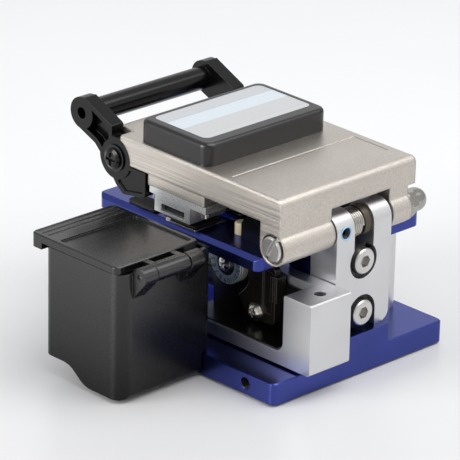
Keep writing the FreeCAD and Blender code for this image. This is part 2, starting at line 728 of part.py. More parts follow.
def slide_rail():
    y0, y1 = rail_y_span()
    rail = prism_y(rail_profile(0), y0, y1)
    top = DECK_TOP + RAIL_HEIGHT
    for y in rail_screw_places():
        rail = rail.cut(cyl_z(DECK_TOP - 1, top + 1, RAIL_CENTRE_X, y, 1.25))
        rail = rail.cut(cyl_z(top - 2.2, top + 1, RAIL_CENTRE_X, y, 2.25))
    return rail


def rail_screws():
    top = DECK_TOP + RAIL_HEIGHT
    screws = []
    for y in rail_screw_places():
        head = cyl_z(top - 2.2, top - 0.15, RAIL_CENTRE_X, y, 2.25)
        key = hexagon(2.0, 0, 1.2, 0, 0)
        key.rotate(V(0, 0, 0), V(0, 1, 0), 90)
        key.translate(V(RAIL_CENTRE_X, y, top - 0.15))
        screws.append(head.cut(key).fuse(cyl_z(DECK_TOP - 5, top - 2.2, RAIL_CENTRE_X, y, 1.25)))
    return group(screws)


def truck_y_span():
    rear = PILLAR_FRONT_Y - BLOCK_DEPTH - 2.4
    return rear - TRUCK_LENGTH, rear


def truck_screw_places():
    y0, y1 = truck_y_span()
    return [(x, y) for x in (RAIL_CENTRE_X - 6.0, RAIL_CENTRE_X)
            for y in (y0 + 2.5, y1 - 2.5)]


def slide_truck():
    """Truck that runs on the rail with the named running clearance."""
    y0, y1 = truck_y_span()
    half = TRUCK_WIDTH / 2
    truck = box(RAIL_CENTRE_X - half, RAIL_CENTRE_X + half, y0, y1, TRUCK_BOTTOM, TRUCK_TOP)
    truck = truck.cut(prism_y(rail_profile(RUN), y0 - 1, y1 + 1))
    for x, y in truck_screw_places():
        truck = truck.cut(cyl_z(TRUCK_TOP - 2.9, TRUCK_TOP + 1, x, y, 1.25))
    return truck


def truck_screws():
    screws = []
    for x, y in truck_screw_places():
        head = cyl_z(SADDLE_TOP, SADDLE_TOP + 1.5, x, y, 2.2)
        slot = box(x - 3, x + 3, y - 0.35, y + 0.35, SADDLE_TOP + 0.8, SADDLE_TOP + 2)
        screws.append(head.cut(slot).fuse(cyl_z(TRUCK_TOP - 2.9, SADDLE_TOP, x, y, 1.25)))
    return group(screws)


def carriage_frame():
    """Rear upright, low arm, side web and the saddle that sits on the truck."""
    x0 = CARRIAGE_X
    x1 = CARRIAGE_X + UPRIGHT_WIDTH
    y1 = UPRIGHT_REAR_Y
    y0 = y1 - UPRIGHT_DEPTH
    arm_y0 = BLADE_Y - 7.5
    side = prism_x([(arm_y0, ARM_BOTTOM, 0.5), (y1, ARM_BOTTOM, 1.0), (y1, UPRIGHT_TOP, 0.6),
                    (y0, UPRIGHT_TOP, 0.6), (y0, ARM_TOP, ARM_FILLET), (arm_y0, ARM_TOP, 0.5)], x0, x1)
    web_y0 = BLADE_Y + 7.4
    web = box(x0, x0 + WEB_THICK, web_y0, y0 + 3, ARM_TOP - 1, UPRIGHT_TOP)
    web = web.cut(cyl_x(x0 - 1, x0 + WEB_THICK + 1, BLADE_Y, BLADE_Z, BLADE_R + BODY_GAP))
    frame = side.fuse(web)
    ty0, ty1 = truck_y_span()
    saddle = box(RAIL_CENTRE_X - TRUCK_WIDTH / 2, x0 + 0.2, ty0, ty1 + 1.9, TRUCK_TOP, SADDLE_TOP)
    tie = box(x0 - 0.2, x0 + WEB_THICK, web_y0 + 4.3, ty1 + 1.9, TRUCK_TOP, SADDLE_TOP)
    tie = tie.cut(cyl_x(x0 - 1, x0 + WEB_THICK + 1, BLADE_Y, BLADE_Z, BLADE_R + BODY_GAP))
    frame = frame.fuse(saddle).fuse(tie)
    for x, y in truck_screw_places():
        frame = frame.cut(cyl_z(TRUCK_TOP - 1, SADDLE_TOP + 1, x, y, 1.25))
    frame = frame.cut(cyl_z(UPRIGHT_TOP - 7, UPRIGHT_TOP + 1, x0 + 6.7, y1 - TOP_HOLE_INSET,
                             TOP_HOLE_R))
    gy, gz = guard_screw_place()
    frame = frame.cut(cyl_x(x0 + 0.5, x0 + WEB_THICK + 1, gy, gz, 1.0))
    return frame.removeSplitter()


def carriage_liner():
    """Black cover over the web's outer face, with a thin foot along the arm."""
    web_x = CARRIAGE_X + WEB_THICK
    arm_end_x = CARRIAGE_X + UPRIGHT_WIDTH
    rear = UPRIGHT_REAR_Y - UPRIGHT_DEPTH - ARM_FILLET
    low_top = UPRIGHT_TOP - 2.4
    high_top = BLADE_Z + 3.7
    wall = prism_x([(BLADE_Y - 7.0, ARM_TOP, 0), (rear, ARM_TOP, 0), (rear, low_top, 0.5),
                    (BLADE_Y + 9.5, low_top, 0), (BLADE_Y + 9.5, high_top, 2.0),
                    (BLADE_Y - 7.0, high_top, 4.0)], web_x, web_x + LINER_THICK)
    foot = box(web_x, arm_end_x - 0.7, BLADE_Y - 7.0, rear, ARM_TOP, ARM_TOP + LINER_FLOOR)
    liner = wall.fuse(foot)
    liner = liner.cut(cyl_x(web_x - 1, arm_end_x, BLADE_Y, BLADE_Z, DRUM_R + BODY_GAP))
    gy, gz = guard_screw_place()
    return liner.cut(cyl_x(web_x - 1, web_x + 2, gy, gz, 1.0)).removeSplitter()


def blade_bracket():
    """Bearing block for the blade axle, standing on the saddle."""
    x0, x1 = CARRIAGE_X - 5.5, CARRIAGE_X + 0.2
    y0, y1 = BLADE_Y - 6.0, BLADE_Y + 6.0
    top = BLADE_Z + 5.7
    bracket = prism_x([(y0, SADDLE_TOP, 0), (y1, SADDLE_TOP, 0), (y1, top, 3.0), (y0, top, 3.0)],
                      x0, x1)
    return bracket.cut(cyl_x(x0 - 1, x1 + 1, BLADE_Y, BLADE_Z, AXLE_R + RUN))


def guard_screw_place():
    return BLADE_Y + 11.25, BLADE_Z - 10.2


def blade_guard():
    """Plate on the side web with a hollow edge round the blade drum."""
    x0 = CARRIAGE_X + WEB_THICK + LINER_THICK
    rear = BLADE_Y + 17.9
    plate = prism_x([(BLADE_Y + 8.0, BLADE_Z - 12.2, 2.0), (rear, BLADE_Z - 12.2, 1.5),
                     (rear, BLADE_Z + 4.0, 1.5), (BLADE_Y + 3.0, BLADE_Z + 4.0, 0),
                     (BLADE_Y + 3.0, BLADE_Z - 5, 0)], x0, x0 + GUARD_THICK)
    plate = plate.cut(cyl_x(x0 - 1, x0 + GUARD_THICK + 1, BLADE_Y, BLADE_Z, DRUM_R + 2.9))
    rib = box(x0, x0 + GUARD_THICK + 1.2, rear - 0.6, rear + 1.8, BLADE_Z - 5, BLADE_Z + 2)
    for step in (0.5, 1.3):
        rib = rib.cut(box(x0 + GUARD_THICK + 0.7, x0 + GUARD_THICK + 2, rear + step - 0.15,
                          rear + step + 0.25, BLADE_Z - 6, BLADE_Z + 3))
    relief = box(x0 - 1, x0 + GUARD_THICK + 1, rear - 4.6, rear - 1.2, BLADE_Z - 9.5, BLADE_Z + 2.4)
    relief = relief.common(box(x0 + GUARD_THICK - 0.5, x0 + GUARD_THICK + 1, -99, 99, -99, 99))
    gy, gz = guard_screw_place()
    plate = plate.cut(relief.cut(cyl_x(x0 - 1, x0 + 9, gy, gz, 3.2))).fuse(rib)
    return plate.cut(cyl_x(x0 - 1, x0 + GUARD_THICK + 1, gy, gz, 1.0)).removeSplitter()


def guard_screw():
    gy, gz = guard_screw_place()
    seat = CARRIAGE_X + WEB_THICK + LINER_THICK + GUARD_THICK
    washer = ring_x(seat, seat + 0.4, gy, gz, 2.5, 1.0)
    length = LINER_THICK + GUARD_THICK + 0.4 + WEB_THICK - 0.5
    screw = pan_screw_x(seat + 0.4, gy, gz, length, 1.0, 1.9, 1.3, 1)
    return group([washer, screw])


# ---- blade ----------------------------------------------------------------------
def blade_wheel():
    """Disc with a two-sided edge, turned as one profile."""
    a = BLADE_X - BLADE_THICK / 2
    b = BLADE_X + BLADE_THICK / 2
    outline = [(a, AXLE_R), (b, AXLE_R), (b, BLADE_R - 1.1), (BLADE_X + 0.04, BLADE_R),
               (BLADE_X - 0.04, BLADE_R), (a, BLADE_R - 1.1)]
    return spin_x(outline, BLADE_Y, BLADE_Z)


def blade_axle():
    inner = CARRIAGE_X - 5.5 - 0.1
    collar = CARRIAGE_X + 0.2 + 0.1
    a = BLADE_X - BLADE_THICK / 2
    end = DRUM_END_X + 0.6
    outline = [(inner - 0.9, 0), (inner - 0.9, 2.4), (inner, 2.4), (inner, AXLE_R),
               (collar, AXLE_R), (collar, 3.0), (a, 3.0), (a, AXLE_R), (end, AXLE_R),
               (end, 0.8), (end - 4, 0.8), (end - 4, 0)]
    return spin_x(outline, BLADE_Y, BLADE_Z)


def blade_drum():
    b = BLADE_X + BLADE_THICK / 2
    outline = [(b, AXLE_R), (b, DRUM_R - 0.4), (b + 0.4, DRUM_R), (DRUM_END_X - 0.4, DRUM_R),
               (DRUM_END_X, DRUM_R - 0.4), (DRUM_END_X, AXLE_R)]
    return spin_x(outline, BLADE_Y, BLADE_Z)


def blade_dial():
    x = DRUM_END_X
    outline = [(x, DIAL_BORE_R), (x, DIAL_R), (x + 0.4, DIAL_R), (x + 0.6, DIAL_R - 0.2),
               (x + 0.6, DIAL_BORE_R)]
    return spin_x(outline, BLADE_Y, BLADE_Z)


def blade_hub():
    """Dark stepped hub inside the dial ring."""
    x = DRUM_END_X
    outline = [(x, AXLE_R), (x, DIAL_BORE_R), (x + 0.3, DIAL_BORE_R), (x + 0.3, 2.7),
               (x + 0.6, 2.5), (x + 0.6, AXLE_R)]
    return spin_x(outline, BLADE_Y, BLADE_Z)


def blade_screw():
    return pan_screw_x(DRUM_END_X + 0.6, BLADE_Y, BLADE_Z, 4.0, 0.8, 2.1, 0.9, 1)


# ---- lever ----------------------------------------------------------------------
def lever_section():
    """Side view of the lever: flat top, round rear edge, plain rear wall."""
    return [(-LEVER_NOSE, SIDE_BOTTOM, 0), (-LEVER_NOSE, LEVER_TOP, 0),
            (REAR_FACE, LEVER_TOP, 2.0), (REAR_FACE, SIDE_BOTTOM, 0)]


def notch_spans():
    return ((LEVER_RIGHT_X - NOTCH_DEPTH, LEVER_RIGHT_X + 1),
            (LEVER_LEFT_X - 1, LEVER_LEFT_X + NOTCH_DEPTH))


def leg(x0, x1, inner):
    """Hinge leg: a barrel round the shaft carried up into the side wall."""
    solid = cyl_x(x0, x1, 0, 0, LEVER_BARREL_R)
    solid = solid.fuse(box(x0, x1, -LEVER_BARREL_R, REAR_FACE, 0, SIDE_BOTTOM))
    left_r, right_r = (2.3, 0) if inner == x0 else (0, 2.3)
    outline = [(x0, -LEVER_BARREL_R, left_r), (x1, -LEVER_BARREL_R, right_r),
               (x1, SIDE_BOTTOM, 0), (x0, SIDE_BOTTOM, 0)]
    return solid.common(prism_y(outline, -LEVER_BARREL_R - 1, LEVER_BARREL_R + 1))


def lever_casting():
    left, right = LEVER_LEFT_X, LEVER_RIGHT_X
    body = prism_x(lever_section(), left, right)
    for x, sign in ((left, -1), (right, 1)):
        bevel = [(x - sign * 0.4, LEVER_TOP, 0), (x + sign, LEVER_TOP, 0), (x + sign, LEVER_TOP - 1.4, 0)]
        body = body.cut(prism_y(bevel, -LEVER_NOSE - 1, REAR_FACE - 1.4))
    wall = LEVER_WALL
    nose_rear = NOTCH_REAR - 5.0
    body = body.cut(box(left + wall, right - wall, -nose_rear, -5.5, SIDE_BOTTOM - 5, LEVER_CEILING))
    body = body.cut(box(LEG_LEFT_IN_X, LEG_RIGHT_IN_X, -8, -0.2, SIDE_BOTTOM - 5, LEVER_CEILING))
    body = body.cut(box(LEG_LEFT_IN_X, LEG_RIGHT_IN_X, -8, REAR_FACE + 1, 0, REAR_BOTTOM))
    body = body.fuse(leg(LEG_RIGHT_IN_X, right, LEG_RIGHT_IN_X))
    body = body.fuse(leg(LEG_LEFT_OUT_X, LEG_LEFT_IN_X, LEG_LEFT_OUT_X))
    (a0, a1), (b0, b1) = notch_spans()
    chin = prism_x([(-LEVER_NOSE, BAIL_PIVOT_Z - 3.6, 2.5), (-nose_rear + 1, BAIL_PIVOT_Z - 3.6, 0),
                    (-nose_rear + 1, SIDE_BOTTOM + 1, 0), (-LEVER_NOSE, SIDE_BOTTOM + 1, 0)], b1, a0)
    body = body.fuse(chin)
    for x0, x1 in notch_spans():
        body = body.cut(box(x0, x1, -LEVER_NOSE - 1, -NOTCH_REAR, -6, LEVER_TOP + 1))
        body = body.cut(cyl_x(x0, x1, BAIL_PIVOT_Y, BAIL_PIVOT_Z, BAIL_HUB_R + HUB_RELIEF))
    body = body.cut(cyl_x(left - 1, right + 1, 0, 0, SHAFT_R + RUN))
    body = body.cut(cyl_x(head_seat_x() - SIDE_RUN, right + 1, 0, 0, HEAD_BORE_R))
    for x0, x1 in ((a0 - 8, a0 + 1), (b1 - 1, b1 + 8)):
        body = body.cut(cyl_x(x0, x1, BAIL_PIVOT_Y, BAIL_PIVOT_Z, 1.5))
    line_y = -LEVER_NOSE + 45.5
    body = body.cut(box(left + 2.4, right - 2.2, line_y - 0.18, line_y + 0.18,
                        LEVER_TOP - 0.2, LEVER_TOP + 1))
    body = body.cut(box(left + 2.4, left + 2.76, line_y - 0.18, line_y + 12.4,
                        LEVER_TOP - 0.2, LEVER_TOP + 1))
    return body.removeSplitter()


def pad_span():
    return LEVER_LEFT_X + 4.1, LEVER_RIGHT_X - 1.1, -LEVER_NOSE + 11.1, -LEVER_NOSE + 37.3


def label_span():
    x0, x1, y0, y1 = pad_span()
    return x0 + 2.0, x1 - 3.1, y0 + 1.8, y1 - 4.0


def press_pad():
    """Thumb pad on the lever with a bevelled rim and a shallow label recess."""
    x0, x1, y0, y1 = pad_span()
    top = LEVER_TOP + PAD_HEIGHT
    pad = block(x0, x1, y0, y1, LEVER_TOP, top, 3.0)
    rim = edges_where(pad, lambda p: near(p.z, top))
    pad = pad.makeFillet(PAD_BEVEL * 0.85, rim)
    lx0, lx1, ly0, ly1 = label_span()
    return pad.cut(block(lx0, lx1, ly0, ly1, top - 0.5, top + 1, 2.0))


def label_plate():
    lx0, lx1, ly0, ly1 = label_span()
    top = LEVER_TOP + PAD_HEIGHT
    return block(lx0, lx1, ly0, ly1, top - 0.5, top - 0.1, 2.0)


def jaw(x0, x1, x_inner):
    """Clamp block hung under the lever: a foot below the wall, a boss inside."""
    y0 = FIBRE_LEVER_Y - 10.3
    y1 = FIBRE_LEVER_Y + 10.9
    foot = box(x0, x1, y0, y1, JAW_BOTTOM, SIDE_BOTTOM)
    boss = box(x0, x_inner, y0, y1, SIDE_BOTTOM, LEVER_CEILING)
    return foot.fuse(boss).removeSplitter()


def clamp_block_right():
    return jaw(CLAMP_RIGHT_X, LEVER_RIGHT_X - 0.8, LEVER_RIGHT_X - LEVER_WALL)


def clamp_block_left():
    return jaw(CLAMP_LEFT_X, CLAMP_LEFT_END, CLAMP_LEFT_END)


def frame_levels():
    """Strip underside, housing underside and cavity ceiling, lever frame."""
    return JAW_BOTTOM - 2.0, JAW_BOTTOM - 6.5, JAW_BOTTOM - 2.8


def clamp_housing(x0, x1):
    """Strip with a housing under it that lets the sprung pad slide."""
    strip, low, ceiling = frame_levels()
    y0 = FIBRE_LEVER_Y - 10.0
    y1 = FIBRE_LEVER_Y + 11.3
    body = box(x0, x1, y0, y1, strip, JAW_BOTTOM)
    body = body.fuse(box(x0, x1, FIBRE_LEVER_Y - 7.9, FIBRE_LEVER_Y + 5.4, low, strip))
    body = body.cut(box(x0 + 1.3, x1 - 1.3, FIBRE_LEVER_Y - 5.7, FIBRE_LEVER_Y + 3.9,
                        low - 1, ceiling))
    window = box(x0 + 4, x1 + 1, FIBRE_LEVER_Y - 5.3, FIBRE_LEVER_Y + 3.5, low + 0.65, low + 2.7)
    return body.cut(window).removeSplitter()


def clamp_frame_right():
    return clamp_housing(CLAMP_RIGHT_X, CLAMP_RIGHT_END)


def clamp_frame_left():
    return clamp_housing(CLAMP_LEFT_X, CLAMP_LEFT_END)


def clamp_holder(x0, x1):
    strip, low, ceiling = frame_levels()
    fit = 0.1
    return box(x0 + 1.3 + fit, x1 - 1.3 - fit, FIBRE_LEVER_Y - 5.7 + fit, FIBRE_LEVER_Y + 3.9 - fit,
               low + 0.1, ceiling - 1.0)


def clamp_rubber(x0, x1):
    strip, low, ceiling = frame_levels()
    fit = 0.1
    tilt_lift = -FIBRE_LEVER_Y * math.tan(math.radians(LEVER_TILT))
    bottom = FIBRE_Z + 0.38 - HINGE_Z - tilt_lift
    return box(x0 + 1.3 + fit, x1 - 1.3 - fit, FIBRE_LEVER_Y - 5.7 + fit, FIBRE_LEVER_Y + 3.9 - fit,
               bottom, low + 0.1)


def clamp_pins():
    strip, low, ceiling = frame_levels()
    pins = []
    for x in (CLAMP_RIGHT_X + 1.5, CLAMP_RIGHT_END - 1.5, CLAMP_LEFT_X + 1.5, CLAMP_LEFT_END - 1.5):
        for y in (FIBRE_LEVER_Y - 9.0, FIBRE_LEVER_Y + 9.6):
            pins.append(cyl_z(strip - 1.6, strip, x, y, 0.9))
    return group(pins)


def anvil_x_span():
    half = SLOT_WIDTH / 2 - 0.1
    return BLADE_X - half, BLADE_X + half


def anvil_guide():
    y = FIBRE_LEVER_Y
    body = box(BLADE_X - 1.8, BLADE_X + 1.8, y - 3.5, y + 3.5, JAW_BOTTOM + 0.7, LEVER_CEILING)
    return body.cut(cyl_z(JAW_BOTTOM, LEVER_CEILING - 1.0, BLADE_X, y, 1.2 + RUN))


def anvil():
    """Sprung anvil over the fibre: a stem in the guide and a narrow foot."""
    y = FIBRE_LEVER_Y
    x0, x1 = anvil_x_span()
    foot_top = JAW_BOTTOM + 0.7 - 1.0
    tilt_lift = -y * math.tan(math.radians(LEVER_TILT))
    bottom = FIBRE_Z + 0.75 - HINGE_Z - tilt_lift
    foot = prism_x([(y - 1.5, bottom, 0), (y + 1.5, bottom, 0), (y + 3.0, bottom + 2.5, 0),
                    (y + 3.0, foot_top, 0), (y - 3.0, foot_top, 0), (y - 3.0, bottom + 2.5, 0)],
                   x0, x1)
    stem = cyl_z(foot_top, LEVER_CEILING - 2.0, BLADE_X, y, 1.2)
    return foot.fuse(stem.common(box(x0 - 1, x1 + 1, y - 2, y + 2, foot_top - 1, LEVER_CEILING)))


def arm_spans():
    """X ranges of the right and left bail arms."""
    side = (NOTCH_DEPTH - BAIL_THICK) / 2
    return ((LEVER_RIGHT_X - NOTCH_DEPTH + side, LEVER_RIGHT_X - side),
            (LEVER_LEFT_X + side, LEVER_LEFT_X + NOTCH_DEPTH - side))


def bail_screws():
    """Pivot screws of the bail, one each side of the nose."""
    (a0, a1), (b0, b1) = arm_spans()
    length = BAIL_THICK + 0.4 + 0.5 + 7.0
    right = pan_screw_x(a1 + 0.5, BAIL_PIVOT_Y, BAIL_PIVOT_Z, length, 1.5, 2.9, 1.3, 1)
    left = pan_screw_x(b0 - 0.5, BAIL_PIVOT_Y, BAIL_PIVOT_Z, length, 1.5, 2.9, 1.3, -1)
    return group([right, left])


def bail_washers():
    (a0, a1), (b0, b1) = arm_spans()
    return group([ring_x(a1 + 0.1, a1 + 0.5, BAIL_PIVOT_Y, BAIL_PIVOT_Z, 3.7, 1.5),
                  ring_x(b0 - 0.5, b0 - 0.1, BAIL_PIVOT_Y, BAIL_PIVOT_Z, 3.7, 1.5)])


# ---- bail -----------------------------------------------------------------------
def bail_points():
    """Arm outline (y, z, radius), front boss to rear foot, without the hub."""
    y, z = BAIL_PIVOT_Y, BAIL_PIVOT_Z
    return [(y - 16.8, z + 8.6, 0), (y - 15.8, z + 5.0, 2.0), (y - 8.0, z + 1.9, 2.0),
            (y - 4.0, z - 1.7, 2.0), (y + 0.6, z - 7.3, 1.5), (y + 3.4, z - 9.3, 1.5),
            (y + 11.9, z - 7.7, 0.8), (y + 11.9, z - 0.9, 0.5),
            (y + 3.0, z - 0.9, 0), (y - 1.4, z + 4.0, 0), (y - 1.4, z + 8.5, 0.6),
            (y - 12.4, z + 13.4, 0.5), (y - 13.6, z + 12.6, 0)]


def bail_arm(x0, x1, face_sign):
    """One arm: round boss, webbed bar, hub and a flat foot with a shallow panel."""
    y, z = BAIL_PIVOT_Y, BAIL_PIVOT_Z
    arm = prism_x(bail_points(), x0, x1)
    arm = arm.fuse(cyl_x(x0, x1, y, z, BAIL_HUB_R))
    arm = arm.fuse(cyl_x(x0, x1, y - 13.4, z + 8.7, BAIL_BOSS_R))

    def span(deep):
        return (x1 - deep, x1 + 1) if face_sign > 0 else (x0 - 1, x0 + deep)

    p0, p1 = span(2.3)
    pocket = prism_x([(y - 16.0, z + 7.9, 1.0), (y - 15.1, z + 6.3, 0.8), (y - 7.2, z + 3.2, 0.8),
                      (y - 4.4, z + 0.8, 0), (y - 2.6, z + 4.0, 0), (y - 2.6, z + 7.6, 0.4),
                      (y - 12.6, z + 12.0, 0.6), (y - 15.0, z + 11.1, 0.6)], p0, p1)
    pocket = pocket.cut(cyl_x(p0, p1, y, z, 5.2))
    pocket = pocket.cut(cyl_x(p0, p1, y - 13.4, z + 8.7, BAIL_BOSS_R - 0.1))
    q0, q1 = span(0.5)
    panel = prism_x([(y + 1.4, z - 6.4, 0.8), (y + 3.8, z - 8.2, 0.8), (y + 11.0, z - 6.9, 0.6),
                     (y + 11.0, z - 1.9, 0.6), (y + 1.4, z - 1.9, 0)], q0, q1)
    panel = panel.cut(cyl_x(q0, q1, y, z, BAIL_HUB_R))
    return arm.cut(pocket).cut(panel)


def bail():
    """Finger bail: two arms and the round bar between them, one moulding."""
    (a0, a1), (b0, b1) = arm_spans()
    y, z = BAIL_PIVOT_Y, BAIL_PIVOT_Z
    bar = cyl_x(b0 + 1, a1 - 1, y - 13.4, z + 8.3, BAIL_BAR_R)
    shape = bail_arm(a0, a1, 1).fuse(bail_arm(b0, b1, -1)).fuse(bar)
    for x0, x1 in ((a0, a1), (b0, b1)):
        shape = shape.cut(cyl_x(x0 - 1, x1 + 1, y, z, 1.5 + RUN))
    shape = shape.cut(cyl_x(a1 - 2.8, a1 + 1, y - 13.4, z + 8.7, 1.6))
    shape = shape.cut(cyl_x(b0 - 1, b0 + 2.8, y - 13.4, z + 8.7, 1.6))
    return shape.removeSplitter()


# ---- scrap box ------------------------------------------------------------------
def bin_side():
    """Side view of the box (y, z, radius) with the raised front floor."""
    return [(BIN_REAR, BIN_BOTTOM, 1.5), (BIN_REAR, BIN_TOP, 0), (BIN_FRONT, BIN_TOP, 0),
            (BIN_FRONT, BIN_BOTTOM + 4.4, 1.5), (BIN_REAR - 19.6, BIN_BOTTOM + 4.4, 7.0),
            (BIN_REAR - 13.6, BIN_BOTTOM, 7.0)]


def bin_plan():
    return [(BIN_LEFT_X, BIN_FRONT, 1.6), (BIN_RIGHT_X, BIN_FRONT, 3.0),
            (BIN_RIGHT_X, BIN_REAR, 4.0), (BIN_LEFT_X, BIN_REAR, 1.6)]


def ear_spans():
    return (BIN_RIGHT_X - 8.3, BIN_RIGHT_X - 3.8), (BIN_LEFT_X + 7.0, BIN_LEFT_X + 11.4)


def bin_box():
    """Moulded box that hooks over the base edge; open top, notch for the fibre."""
    step_x = BASE_WIDTH / 2 + BODY_GAP
    step_z = PLATE_TOP + BODY_GAP
    outer = prism_x(bin_side(), BIN_LEFT_X, BIN_RIGHT_X)
    outer = outer.common(prism_z(bin_plan(), BIN_BOTTOM - 1, BIN_TOP + 1))
    outer = outer.cut(box(BIN_LEFT_X - 1, step_x, BIN_FRONT - 1, BIN_REAR + 1,
                          BIN_BOTTOM - 1, step_z))
    inner_side = [(a, b if b < BIN_TOP - 3 else BIN_TOP + 1, r)
                  for a, b, r in inset(bin_side(), BIN_WALL)]
    inner = prism_x(inner_side, BIN_LEFT_X, BIN_RIGHT_X)
    inner = inner.common(prism_z(inset(bin_plan(), BIN_WALL), BIN_BOTTOM - 1, BIN_TOP + 2))
    inner = inner.cut(box(BIN_LEFT_X - 1, step_x + BIN_WALL, BIN_FRONT - 1, BIN_REAR + 1,
                          BIN_BOTTOM - 1, step_z + BIN_WALL))
    shell = outer.cut(inner)
    for x0, x1 in ear_spans():
        ear = prism_x([(BIN_REAR - 0.7, LID_AXIS_Z - 6.5, 0), (BIN_REAR, LID_AXIS_Z - 6.5, 0),
                       (LID_AXIS_Y + 2.1, LID_AXIS_Z - 1.4, 0), (LID_AXIS_Y, LID_AXIS_Z + 2.0, 0),
                       (BIN_REAR, LID_AXIS_Z + 0.2, 0), (BIN_REAR - 0.7, LID_AXIS_Z + 0.2, 0)],
                      x0, x1)
        shell = shell.fuse(ear).fuse(cyl_x(x0, x1, LID_AXIS_Y, LID_AXIS_Z, 2.5))
    shell = shell.cut(cyl_x(BIN_LEFT_X, BIN_RIGHT_X + 1, LID_AXIS_Y, LID_AXIS_Z, PIN_R))
    shell = shell.cut(box(BIN_LEFT_X - 1, BIN_LEFT_X + BIN_WALL + 1, FIBRE_Y - 5, FIBRE_Y + 5,
                          FIBRE_Z - 2.5, BIN_TOP + 1))
    for y, z in dowel_places():
        shell = shell.cut(cyl_x(step_x - 1, step_x + BIN_WALL + 1, y, z, 1.0 + RUN))
    return shell.removeSplitter()


def bin_hinge_pin():
    (a0, a1), (b0, b1) = ear_spans()
    return cyl_x(b0, a1 - 0.6, LID_AXIS_Y, LID_AXIS_Z, PIN_R)


def bin_lid():
    """Lid with a front lip, three finger grooves, a sunken panel and a hinge knuckle."""
    (a0, a1), (b0, b1) = ear_spans()
    lid = block(LID_LEFT_X, LID_RIGHT_X, LID_FRONT, LID_REAR, LID_BOTTOM, LID_TOP, 1.6)
    edge = edges_where(lid, lambda p: near(p.z, LID_TOP))
    lid = lid.makeChamfer(0.3, edge)
    lip = box(LID_LEFT_X, LID_RIGHT_X, LID_FRONT, BIN_FRONT - 0.4, LID_BOTTOM - 1.9, LID_BOTTOM + 0.5)
    lip = lip.common(block(LID_LEFT_X, LID_RIGHT_X, LID_FRONT, LID_REAR, 0, LID_TOP, 1.6))
    lid = lid.fuse(lip)
    for y in (LID_FRONT + 1.3, LID_FRONT + 3.4, LID_FRONT + 5.5):
        lid = lid.cut(cyl_x(LID_LEFT_X + 1.2, LID_RIGHT_X - 1.2, y, LID_TOP + 0.05, 0.55))
    lid = lid.cut(block(LID_LEFT_X + 1.3, LID_RIGHT_X - 1.3, LID_FRONT + 9.7, LID_REAR - 1.4,
                        LID_TOP - 0.5, LID_TOP + 1, 1.0))
    k0, k1 = b1 + BODY_GAP, a0 - BODY_GAP
    knuckle = cyl_x(k0, k1, LID_AXIS_Y, LID_AXIS_Z, 2.3)
    arms = box(k0, k1, LID_REAR - 0.5, LID_AXIS_Y, LID_BOTTOM, LID_BOTTOM + 1.6)
    arms = arms.cut(box(k0 + 1.8, k1 - 1.8, LID_REAR, LID_AXIS_Y - 1.6, LID_BOTTOM - 1, LID_TOP))
    lid = lid.fuse(arms).fuse(knuckle)
    lid = lid.cut(cyl_x(k0 - 1, k1 + 1, LID_AXIS_Y, LID_AXIS_Z, PIN_R + RUN))
    return lid.removeSplitter()


# ---- all parts --------------------------------------------------------------------
STILL_PARTS = {
    "non_slip_sheet": non_slip_sheet, "base_plate": base_plate, "bin_dowels": bin_dowels,
    "support_column": support_column, "hinge_pillar": hinge_pillar,
    "pillar_screws": pillar_screws, "pillar_set_screw": pillar_set_screw,
    "hinge_screw": hinge_screw, "hinge_washer": hinge_washer, "acorn_nut": acorn_nut,
    "hinge_spring": hinge_spring, "spring_bush": spring_bush, "platform": platform,
    "platform_posts": platform_posts, "platform_screws": platform_screws,
    "lower_clamp_seats": lower_clamp_seats, "lower_pads": lower_pads,
    "fibre_guide": fibre_guide, "guide_screws": guide_screws, "nylon_bumper": nylon_bumper,
    "bail_rest": bail_rest, "inner_cover": inner_cover, "screw_cups": screw_cups,
    "slide_rail": slide_rail, "rail_screws": rail_screws, "slide_truck": slide_truck,
    "truck_screws": truck_screws, "carriage_frame": carriage_frame,
    "blade_bracket": blade_bracket, "carriage_liner": carriage_liner,
    "blade_guard": blade_guard, "guard_screw": guard_screw, "blade_wheel": blade_wheel,
    "blade_axle": blade_axle, "blade_drum": blade_drum, "blade_dial": blade_dial,
    "blade_hub": blade_hub, "blade_screw": blade_screw, "bin_box": bin_box,
    "bin_hinge_pin": bin_hinge_pin, "bin_lid": bin_lid,
}

LEVER_PARTS = {
    "lever_casting": lever_casting, "press_pad": press_pad, "label_plate": label_plate,
    "clamp_block_right": clamp_block_right, "clamp_block_left": clamp_block_left,
    "clamp_frame_right": clamp_frame_right, "clamp_frame_left": clamp_frame_left,
    "clamp_pins": clamp_pins, "anvil_guide": anvil_guide, "anvil": anvil,
    "clamp_holder_right": lambda: clamp_holder(CLAMP_RIGHT_X, CLAMP_RIGHT_END),
    "clamp_holder_left": lambda: clamp_holder(CLAMP_LEFT_X, CLAMP_LEFT_END),
    "clamp_rubber_right": lambda: clamp_rubber(CLAMP_RIGHT_X, CLAMP_RIGHT_END),
    "clamp_rubber_left": lambda: clamp_rubber(CLAMP_LEFT_X, CLAMP_LEFT_END),
    "bail_screws": bail_screws, "bail_washers": bail_washers, "bail": bail,
}


def main():
    os.makedirs("parts", exist_ok=True)
    for name, make in STILL_PARTS.items():
        make().exportStep(os.path.join("parts", name + ".step"))
    for name, make in LEVER_PARTS.items():
        place(make()).exportStep(os.path.join("parts", name + ".step"))


main()
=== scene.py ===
# %% [markdown]
# # Fibre cleaver: finishes, fine details, lights and camera
# A fibre cleaver clamps a glass fibre under its press lever and scores it with a small
# round blade that rides on a sliding carriage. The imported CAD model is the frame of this
# scene, so every solid keeps its place and its shape. This script gives each solid a
# finish, adds the details that are too fine for CAD, and sets the stage. All lengths
# are in metres, and colours are linear values.

# %% Load the frame
import math

import bmesh
import bpy
import numpy as np
from mathutils import Matrix, Vector


